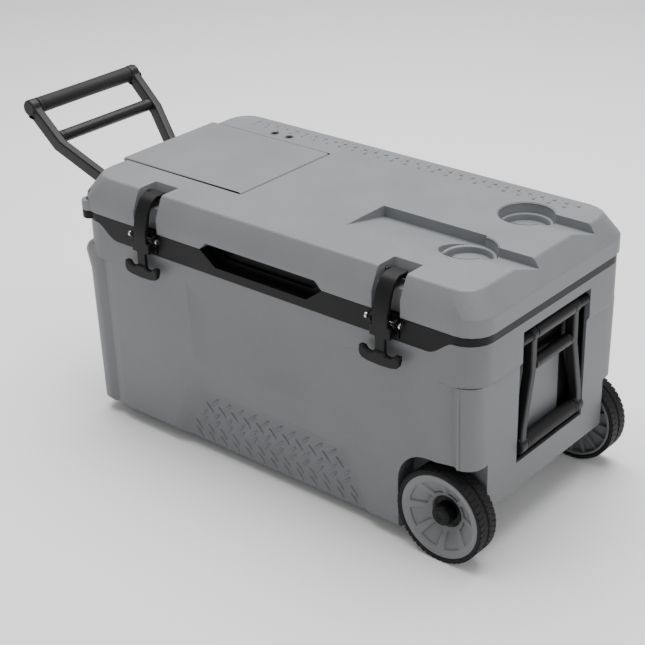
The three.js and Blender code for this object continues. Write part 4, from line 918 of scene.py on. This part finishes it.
@dataclass
class Lid:
    """The lid with its cups, ruler, hatch and screws. Sizes in millimetres."""

    cup_radius: float = 38.8
    cup_spots: tuple[tuple[float, float], ...] = ((259, -52), (259, 87))
    cup_floor: float = 24
    body: str = "lid"

    def build(self) -> None:
        """Makes every piece of the lid."""
        middle = body_middle()
        top = Bounds.of("lid_shell").high.z
        skin("lid_shell", Look.SHELL, self.body, 1.2, 2)
        skin("lid_panel", Look.LINER, self.body, 0.8)
        skin("lid_gasket", Look.RUBBER, self.body, 0)
        paint("lid_foam", Look.FOAM)
        skin("hatch_door", Look.SHELL, "hatch", 2.4, 4)
        skin("hatch_pin", Look.STEEL, self.body, 0.3)
        for screw in ("lid_screw_1", "lid_screw_2"):
            skin(screw, Look.TRIM, self.body, 0.35)
            self._washer(Bounds.of(screw), top, screw + "_ring")
        for place, (x, y) in enumerate(self.cup_spots):
            spot = Vector((middle.x + x * MM, middle.y + y * MM, top))
            self._cup_step(spot, "cup_step_" + ("front", "back")[place])
        Ruler().build(middle, top)

    def _cup_step(self, spot: Vector, name: str) -> None:
        """The stepped ring at the foot of a cup holder.

        Args:
            spot: The cup's middle at the lid's top.
            name: The piece's name.
        """
        low, wall = self.cup_floor, self.cup_radius
        outline = [
            (wall - 1.2, low - 9.5), (wall - 0.2, low - 8.2), (wall - 1.4, low + 0.2),
            (wall - 6.4, low + 0.2), (wall - 5.6, low - 7.6), (wall - 4.4, low - 9.2),
        ]
        ring = turned(name, outline, 96)
        stand = Matrix.Rotation(math.pi / 2, 4, "X")
        dress(smoothed(placed(ring, Matrix.Translation(spot) @ stand), 60), Look.SHELL, self.body)

    def _washer(self, screw: Bounds, top: float, name: str) -> None:
        """The moulded ring round a lid screw.

        Args:
            screw: The screw's box.
            top: Height of the lid's top.
            name: The piece's name.
        """
        outline = [(6.9, -0.5), (7.6, -0.75), (8.3, -0.5), (8.4, 0.2), (6.8, 0.2)]
        ring = turned(name, outline, 40)
        spot = Matrix.Translation((screw.centre.x, screw.centre.y, top))
        stand = Matrix.Rotation(math.pi / 2, 4, "X")
        dress(smoothed(placed(ring, spot @ stand), 60), Look.SHELL, self.body)


@dataclass
class Latch:
    """A rubber T-latch with its pin and its keeper. Sizes in millimetres."""

    side: str
    grip_half: float = 34
    grip_thick: float = 8
    head_radius: float = 4.3
    head_long: float = 3.6

    def build(self) -> None:
        """Makes the latch's pieces."""
        skin("latch_strap_" + self.side, Look.RUBBER, "latch_" + self.side, 1.3, 3)
        skin("latch_pivot_" + self.side, Look.STEEL, "lid", 0.5)
        skin("keeper_bracket_" + self.side, Look.TRIM, "tub", 0.5)
        skin("keeper_pin_" + self.side, Look.STEEL, "tub", 0.5)
        self._grip()
        self._heads()

    def _grip(self) -> None:
        """The finger grip across the strap's foot, its ends turned up."""
        strap = Bounds.of("latch_strap_" + self.side)
        half = self.grip_half
        right = [(0, -1), (half - 14, 0), (half - 5, 2.5), (half - 1, 7), (half, 13), (half - 1.5, 18.5)]
        right += [(half - 5, 20.5), (half - 9, 19.5), (half - 12, 16.5), (half - 17, 14.8)]
        right += [(11, 15.5), (9, 19)]
        outline = right + [(-x, z) for x, z in reversed(right[1:])]
        made = plate("latch_grip_" + self.side, outline, self.grip_thick, 2.2)
        spot = Matrix.Translation((strap.centre.x, strap.low.y + (self.grip_thick - 1) * MM, strap.low.z))
        dress(placed(made, spot), Look.RUBBER, "latch_" + self.side)

    def _heads(self) -> None:
        """The bright heads at both ends of the keeper's pin."""
        pin, bracket = Bounds.of("keeper_pin_" + self.side), Bounds.of("keeper_bracket_" + self.side)
        radius, long = self.head_radius, self.head_long
        outline = [(AXIS, 0), (radius - 1, 0), (radius - 0.2, 0.4), (radius, 1.2)]
        outline += [(radius, long), (AXIS, long)]
        heads = []
        for turn, x in ((1, bracket.high.x), (-1, bracket.low.x)):
            head = turned("head", outline, 32)
            about = Matrix.Rotation(turn * math.pi / 2, 4, "Z")
            spot = Matrix.Translation((x + turn * (long + 0.1) * MM, pin.centre.y, pin.centre.z))
            heads.append(placed(head, spot @ about))
        both = smoothed(joined("keeper_heads_" + self.side, heads), 50)
        dress(both, Look.STEEL, "tub")


@dataclass
class Hinge:
    """A lid hinge at the back. Sizes in millimetres."""

    side: str
    screw_spread: float = 17
    screw_drop: float = 6

    def build(self, studs: Pattern) -> None:
        """Makes the hinge's pieces.

        Args:
            studs: The screw head pattern.
        """
        bracket = "hinge_bracket_" + self.side
        skin(bracket, Look.TRIM, "tub", 0.6)
        skin("hinge_pin_" + self.side, Look.STEEL, "tub", 0.4)
        box = Bounds.of(bracket)
        mesh = bpy.data.meshes.new("spots")
        z = box.low.z + self.screw_drop * MM
        y = box.low.y + 4.6 * MM
        xs = [box.centre.x + turn * self.screw_spread * MM for turn in (-1, 0, 1)]
        mesh.from_pydata([(x, y, z) for x in xs], [], [])
        dress(studs.grow("hinge_screws_" + self.side, Look.STEEL, mesh), Look.STEEL, "tub")


@dataclass
class Handle:
    """A folding handle with its pocket. Sizes in millimetres."""

    prefix: str
    round_arm: float
    collar: float
    groove: float = 2.4
    slack: float = 0.5  # left free round each bar, so that it clears its pocket
    panel_thick: float = 3.4
    panel_corner: float = 3

    def build(self) -> None:
        """Makes the handle's pieces."""
        body = self.prefix + "_handle"
        for arm in ("_arm_front", "_arm_back"):
            skin(self.prefix + arm, Look.HANDLE, body, self.round_arm, 3)
        skin(self.prefix + "_sleeve", Look.HANDLE, body, 0.9)
        skin(self.prefix + "_pivot_rod", Look.STEEL, "tub", 0.4)
        skin(self.prefix + "_pocket_tray", Look.TRIM, "tub", 0)
        if self.prefix == "carry":
            self._panel()
        self._bar(self.prefix + "_grip", Look.GRIP, body, 2.6)
        self._bar(self.prefix + "_cross_bar", Look.HANDLE, body, 1.4)

    def _panel(self) -> None:
        """The shell's grey face behind the handle, inside its pocket."""
        tray, grip = Bounds.of(self.prefix + "_pocket_tray"), Bounds.of(self.prefix + "_grip")
        half, low, high = grip.size.y / 2 / MM - 24, tray.low.z / MM + 14, tray.high.z / MM - 74
        wide = half + self.panel_corner
        outline = [(-half, low), (half, low), (wide, low + 4), (wide, high - 4), (half, high)]
        outline += [(-half, high), (-wide, high - 4), (-wide, low + 4)]
        made = plate(self.prefix + "_pocket_panel", outline, self.panel_thick, 1.2)
        about = Matrix.Rotation(math.pi / 2, 4, "Z")
        spot = Matrix.Translation((tray.low.x + 0.2 * MM, grip.centre.y, 0))
        dress(placed(made, spot @ about), Look.SMOOTH_SHELL_IN_PAINTED_SHADE, "tub")

    def _bar(self, node: str, look: Look, body: str, step: float) -> None:
        """A round bar with a collar at each end and a slight belly.

        Args:
            node: The CAD bar that it stands for.
            look: Its finish.
            body: The body that it rides on.
            step: How far the bar's middle is under its collars.
        """
        box = Bounds.of(node)
        radius = box.size.z / 2 / MM - self.slack
        length = box.size.y / MM
        collar, end = self.collar, self.collar + self.groove
        half = [(AXIS, 0), (radius - 1.2, 0), (radius - 0.3, 0.4), (radius, 1.4), (radius, collar)]
        half += [(radius - 0.8, collar + 0.8), (radius - 0.9, collar + 1.6), (radius - 0.1, end)]
        middle = []
        for share in (0.25, 0.5, 0.75):
            dip = step * 0.12 * math.cos(math.pi * (share - 0.5))
            middle.append((radius - 0.1 - dip, end + (length - 2 * end) * share))
        outline = half + middle + [(r, length - d) for r, d in reversed(half)]
        bar = turned(node + "_looks", outline, 48)
        spot = Matrix.Translation((box.centre.x, box.high.y, box.centre.z))
        dress(smoothed(placed(bar, spot), 50), look, body, node)


@dataclass
class Wheel:
    """A wheel: tyre with lugs, dished rim, hub cap and bush. Sizes in millimetres."""

    place: str
    side: int
    width: float = 37.5
    radius: float = 69.5
    lug_height: float = 0.9
    facets: int = 8
    lugs: int = 48
    rim_radius: float = 62.9
    lip_radius: float = 53.5
    well_radius: float = 24
    pocket_low: float = 30
    pocket_high: float = 51
    pocket_depth: float = 3
    body: str = field(init=False)

    def __post_init__(self) -> None:
        """Names the body that the wheel is."""
        self.body = "wheel_" + self.place

    def build(self, lugs: Pattern) -> None:
        """Makes the wheel's pieces.

        Args:
            lugs: The lug pattern.
        """
        self._tyre(lugs)
        self._rim()
        self._cap()
        skin("axle_bush_" + self.place, Look.TRIM, self.body, 0.3)

    def _set(self, obj: bpy.types.Object) -> bpy.types.Object:
        """Puts a piece made with its outer face at y = 0 on this side's axle."""
        box = Bounds.of("tyre_" + self.place)
        face = box.high.y if self.side > 0 else box.low.y
        about = Matrix.Rotation(0 if self.side > 0 else math.pi, 4, "Z")
        return placed(obj, Matrix.Translation((box.centre.x, face, box.centre.z)) @ about)

    def _tyre(self, lugs: Pattern) -> None:
        """The tyre: a carcass with a middle groove, and four rings of blocks.

        Args:
            lugs: The lug pattern.
        """
        inner, tread, wide = self.rim_radius + 0.3, self.radius - self.lug_height, self.width
        outline = [
            (inner, 1.3), (inner + 1, 0.5), (inner + 2.6, 0.3), (tread - 1, 1.4), (tread, 4),
            (tread, wide / 2 - 1.6), (tread - 1, wide / 2 - 1), (tread - 1, wide / 2 + 1),
            (tread, wide / 2 + 1.6), (tread, wide - 4), (tread - 1, wide - 1.4),
            (inner + 2.6, wide - 0.3), (inner + 1, wide - 0.5), (inner, wide - 1.3),
        ]
        parts = [turned("carcass", outline, 120)]
        stand = Matrix.Rotation(math.pi / 2, 4, "X")
        step = FULL_TURN / self.lugs
        rows = (
            (7.2, 12.0, 0.0, 0.16),
            (wide - 7.2, 12.0, 0.5, -0.16),
            (wide / 2 - 5.2, 5.6, 0.5, -0.3),
            (wide / 2 + 5.2, 5.6, 0.0, 0.3),
        )
        height = self.lug_height + 0.6
        for depth, across, phase, skew in rows:
            ring = lugs.grow(
                "lugs",
                Look.TYRE,
                Lugs=self.lugs,
                Radius=(self.radius - height / 2 - 0.08) * MM,
                Lug_Length=7.4 * MM,
                Lug_Width=across * MM,
                Lug_Height=height * MM,
                Phase=phase * step,
                Skew=skew,
            )
            parts.append(placed(ring, Matrix.Translation((0, -depth * MM, 0)) @ stand))
        tyre = joined("tyre_" + self.place + "_looks", parts)
        dress(smoothed(self._set(tyre), 35), Look.TYRE, self.body, "tyre_" + self.place)

    def _faceted(self, radius: float, depth: float, angle: float) -> tuple[float, float]:
        """Presses the pockets between the spokes into the dish.

        Args:
            radius: The point's radius.
            depth: The point's depth.
            angle: Where it is round the wheel.

        Returns:
            The point's new radius and depth.
        """
        if not self.pocket_low <= radius <= self.pocket_high or depth > 24:
            return radius, depth
        turn = (angle / FULL_TURN * self.facets) % 1
        hollow = min(1.0, max(0.0, (min(turn, 1 - turn) - 0.15) / 0.03))
        return radius, depth + self.pocket_depth * hollow

    def _rim(self) -> None:
        """The rim: a flat lip, a dish with pockets between spokes, and a deep well for the hub."""
        rim, lip, well, wide = self.rim_radius, self.lip_radius, self.well_radius, self.width
        low, high = self.pocket_low, self.pocket_high
        radii = [well, 27, low - 0.5, low, 37, 44, high, high + 0.5, lip]
        dish = [(radius, 3.4 + 17 * (lip - radius) / (lip - well)) for radius in radii]
        outline = [(8.9, 25.5), (well - 1.6, 25.5), (well - 1, 24)]
        outline += dish
        outline += [(lip + 0.9, 2.6), (lip + 2, 2.2), (rim - 1.6, 1.5), (rim - 0.4, 1.9), (rim, 3)]
        outline += [(rim, wide - 1.6), (rim - 0.6, wide - 1.2), (rim - 3.4, wide - 1.2)]
        outline += [(rim - 4, wide - 2), (rim - 4, 29), (24, 30)]
        outline += [(24, wide - 2.4), (23, wide - 2), (8.9, wide - 2)]
        rim_piece = turned("wheel_rim_" + self.place + "_looks", outline, 240, self._faceted)
        spokes = self._inner_ribs()
        both = joined("wheel_rim_" + self.place + "_looks", [rim_piece, *spokes])
        dress(smoothed(self._set(both), 38), Look.WHEEL, self.body, "wheel_rim_" + self.place)

    def _inner_ribs(self) -> list[bpy.types.Object]:
        """Thin ribs between the hub and the barrel on the wheel's inner side.

        Returns:
            The ribs.
        """
        ribs = []
        count = self.facets * 2
        for place in range(count):
            bm = bmesh.new()
            bmesh.ops.create_cube(bm, size=1.0)
            reach = (self.rim_radius - 4 - 23.5) * MM
            bmesh.ops.scale(bm, vec=(reach + 1 * MM, 6.5 * MM, 1.6 * MM), verts=bm.verts)
            bmesh.ops.translate(bm, vec=(23.5 * MM + reach / 2, -32.2 * MM, 0), verts=bm.verts)
            turn = Matrix.Rotation(FULL_TURN * place / count, 3, "Y")
            bmesh.ops.rotate(bm, matrix=turn, verts=bm.verts)
            ribs.append(to_object("rib", bm))
        return ribs

    def _cap(self) -> None:
        """The black hub cap, a stepped plug with a ring on its face."""
        outline = [
            (AXIS, 4.6), (4.2, 4.6), (4.8, 3.9), (9.6, 3.7), (10.4, 4.5), (11.6, 4.5), (13.2, 4.9),
            (14.6, 6.4), (15.2, 8.4), (15.4, 22.6), (21.4, 23.2), (22, 23.8), (22, 25.3),
            (9.2, 25.3), (9.2, 9.6), (AXIS, 9.6),
        ]
        cap = turned("hub_cap_" + self.place + "_looks", outline, 64)
        dress(smoothed(self._set(cap), 45), Look.TRIM, self.body, "hub_cap_" + self.place)


@dataclass
class Running:
    """The axle, its washers and brackets."""

    places: tuple[str, ...] = ("front", "back")

    def build(self, lugs: Pattern) -> None:
        """Makes the running gear.

        Args:
            lugs: The lug pattern.
        """
        skin("axle_rod", Look.STEEL, "tub", 0.6)
        for place, side in zip(self.places, (-1, 1)):
            skin("axle_washer_" + place, Look.STEEL, "tub", 0.3)
            skin("axle_bracket_" + place, Look.TRIM, "tub", 1.4)
            Wheel(place, side).build(lugs)


@dataclass
class Drain:
    """The drain tube, its washer and its plug."""

    def build(self) -> None:
        """Makes the drain's pieces."""
        skin("drain_tube", Look.TRIM, "tub", 0.6)
        skin("drain_washer", Look.RUBBER, "drain_plug", 0.3)
        skin("drain_plug", Look.TRIM, "drain_plug", 0.7)


@dataclass
class Studio:
    """Floor, lights and camera. Places in metres from the tub's middle."""

    camera_place: tuple[float, float, float] = (1.3238, -1.5886, 1.2474)
    azimuth: float = 40.75
    elevation: float = 27.0
    roll: float = -1.68
    lens: float = 85.9
    sensor: float = 36.0
    floor_half: float = 30.0

    def build(self) -> None:
        """Makes the studio."""
        centre = body_middle()
        self._camera(centre)
        self._floor()
        self._sky()
        self._lamp("overhead", centre + Vector((-0.3, 0.5, 2.8)), centre, 3.0, 150)
        self._lamp("front fill", centre + Vector((-1.4, -2.6, 1.6)), centre, 2.4, 6)
        self._lamp("end fill", centre + Vector((3.0, -0.4, 1.5)), centre, 2.0, 22)

    def _camera(self, centre: Vector) -> None:
        """Aims the camera.

        Args:
            centre: The tub's middle on the ground.
        """
        turn, rise, roll = (math.radians(v) for v in (self.azimuth, self.elevation, self.roll))
        back = Vector((math.sin(turn) * math.cos(rise), -math.cos(turn) * math.cos(rise), math.sin(rise)))
        right = (-back).cross(Vector((0, 0, 1))).normalized()
        up = right.cross(-back)
        across = right * math.cos(roll) + up * math.sin(roll)
        above = up * math.cos(roll) - right * math.sin(roll)
        data = bpy.data.cameras.new("camera")
        data.lens, data.sensor_width = self.lens, self.sensor
        data.clip_end = 100
        made = bpy.data.objects.new("camera", data)
        facing = Matrix((across, above, back)).transposed().to_4x4()
        made.matrix_world = Matrix.Translation(centre + Vector(self.camera_place)) @ facing
        bpy.context.scene.collection.objects.link(made)
        bpy.context.scene.camera = made

    def _floor(self) -> None:
        """Lays the pale floor."""
        bm = bmesh.new()
        bmesh.ops.create_grid(bm, x_segments=1, y_segments=1, size=self.floor_half)
        floor = to_object("floor", bm)
        material = bpy.data.materials.new("Pale floor")
        material.use_nodes = True
        shader = material.node_tree.nodes["Principled BSDF"]
        shader.inputs["Base Color"].default_value = (0.96, 0.96, 0.96, 1)
        shader.inputs["Roughness"].default_value = 0.9
        floor.data.materials.append(material)
        floor.location.z = -0.0004

    def _sky(self) -> None:
        """Fills the room with even light."""
        world = bpy.data.worlds.new("room")
        world.use_nodes = True
        world.node_tree.nodes["Background"].inputs[0].default_value = (1, 1, 1, 1)
        world.node_tree.nodes["Background"].inputs[1].default_value = 0.42
        bpy.context.scene.world = world

    def _lamp(self, name: str, place: Vector, target: Vector, size: float, power: float) -> None:
        """Hangs a soft lamp.

        Args:
            name: The lamp's name.
            place: Where it hangs.
            target: What it faces.
            size: Its side in metres.
            power: Its power in watts.
        """
        data = bpy.data.lights.new(name, "AREA")
        data.shape, data.size, data.energy = "SQUARE", size, power
        lamp = bpy.data.objects.new(name, data)
        lamp.location = place
        lamp.rotation_euler = (place - target).to_track_quat("Z", "Y").to_euler()
        bpy.context.scene.collection.objects.link(lamp)


def main() -> None:
    """Builds the cooler round the frame, one sub-assembly after the other."""
    logging.basicConfig(level=logging.INFO, format="%(name)s: %(message)s")
    studs, lugs = stud_set(), lug_ring()
    Tub().build()
    Lid().build()
    for side in ("left", "right"):
        Latch(side).build()
        Hinge(side).build(studs)
    Handle("tow", 3.2, 7).build()
    Handle("carry", 2.4, 5).build()
    Running().build(lugs)
    Drain().build()
    Studio().build()


if __name__ == "__main__":
    main()
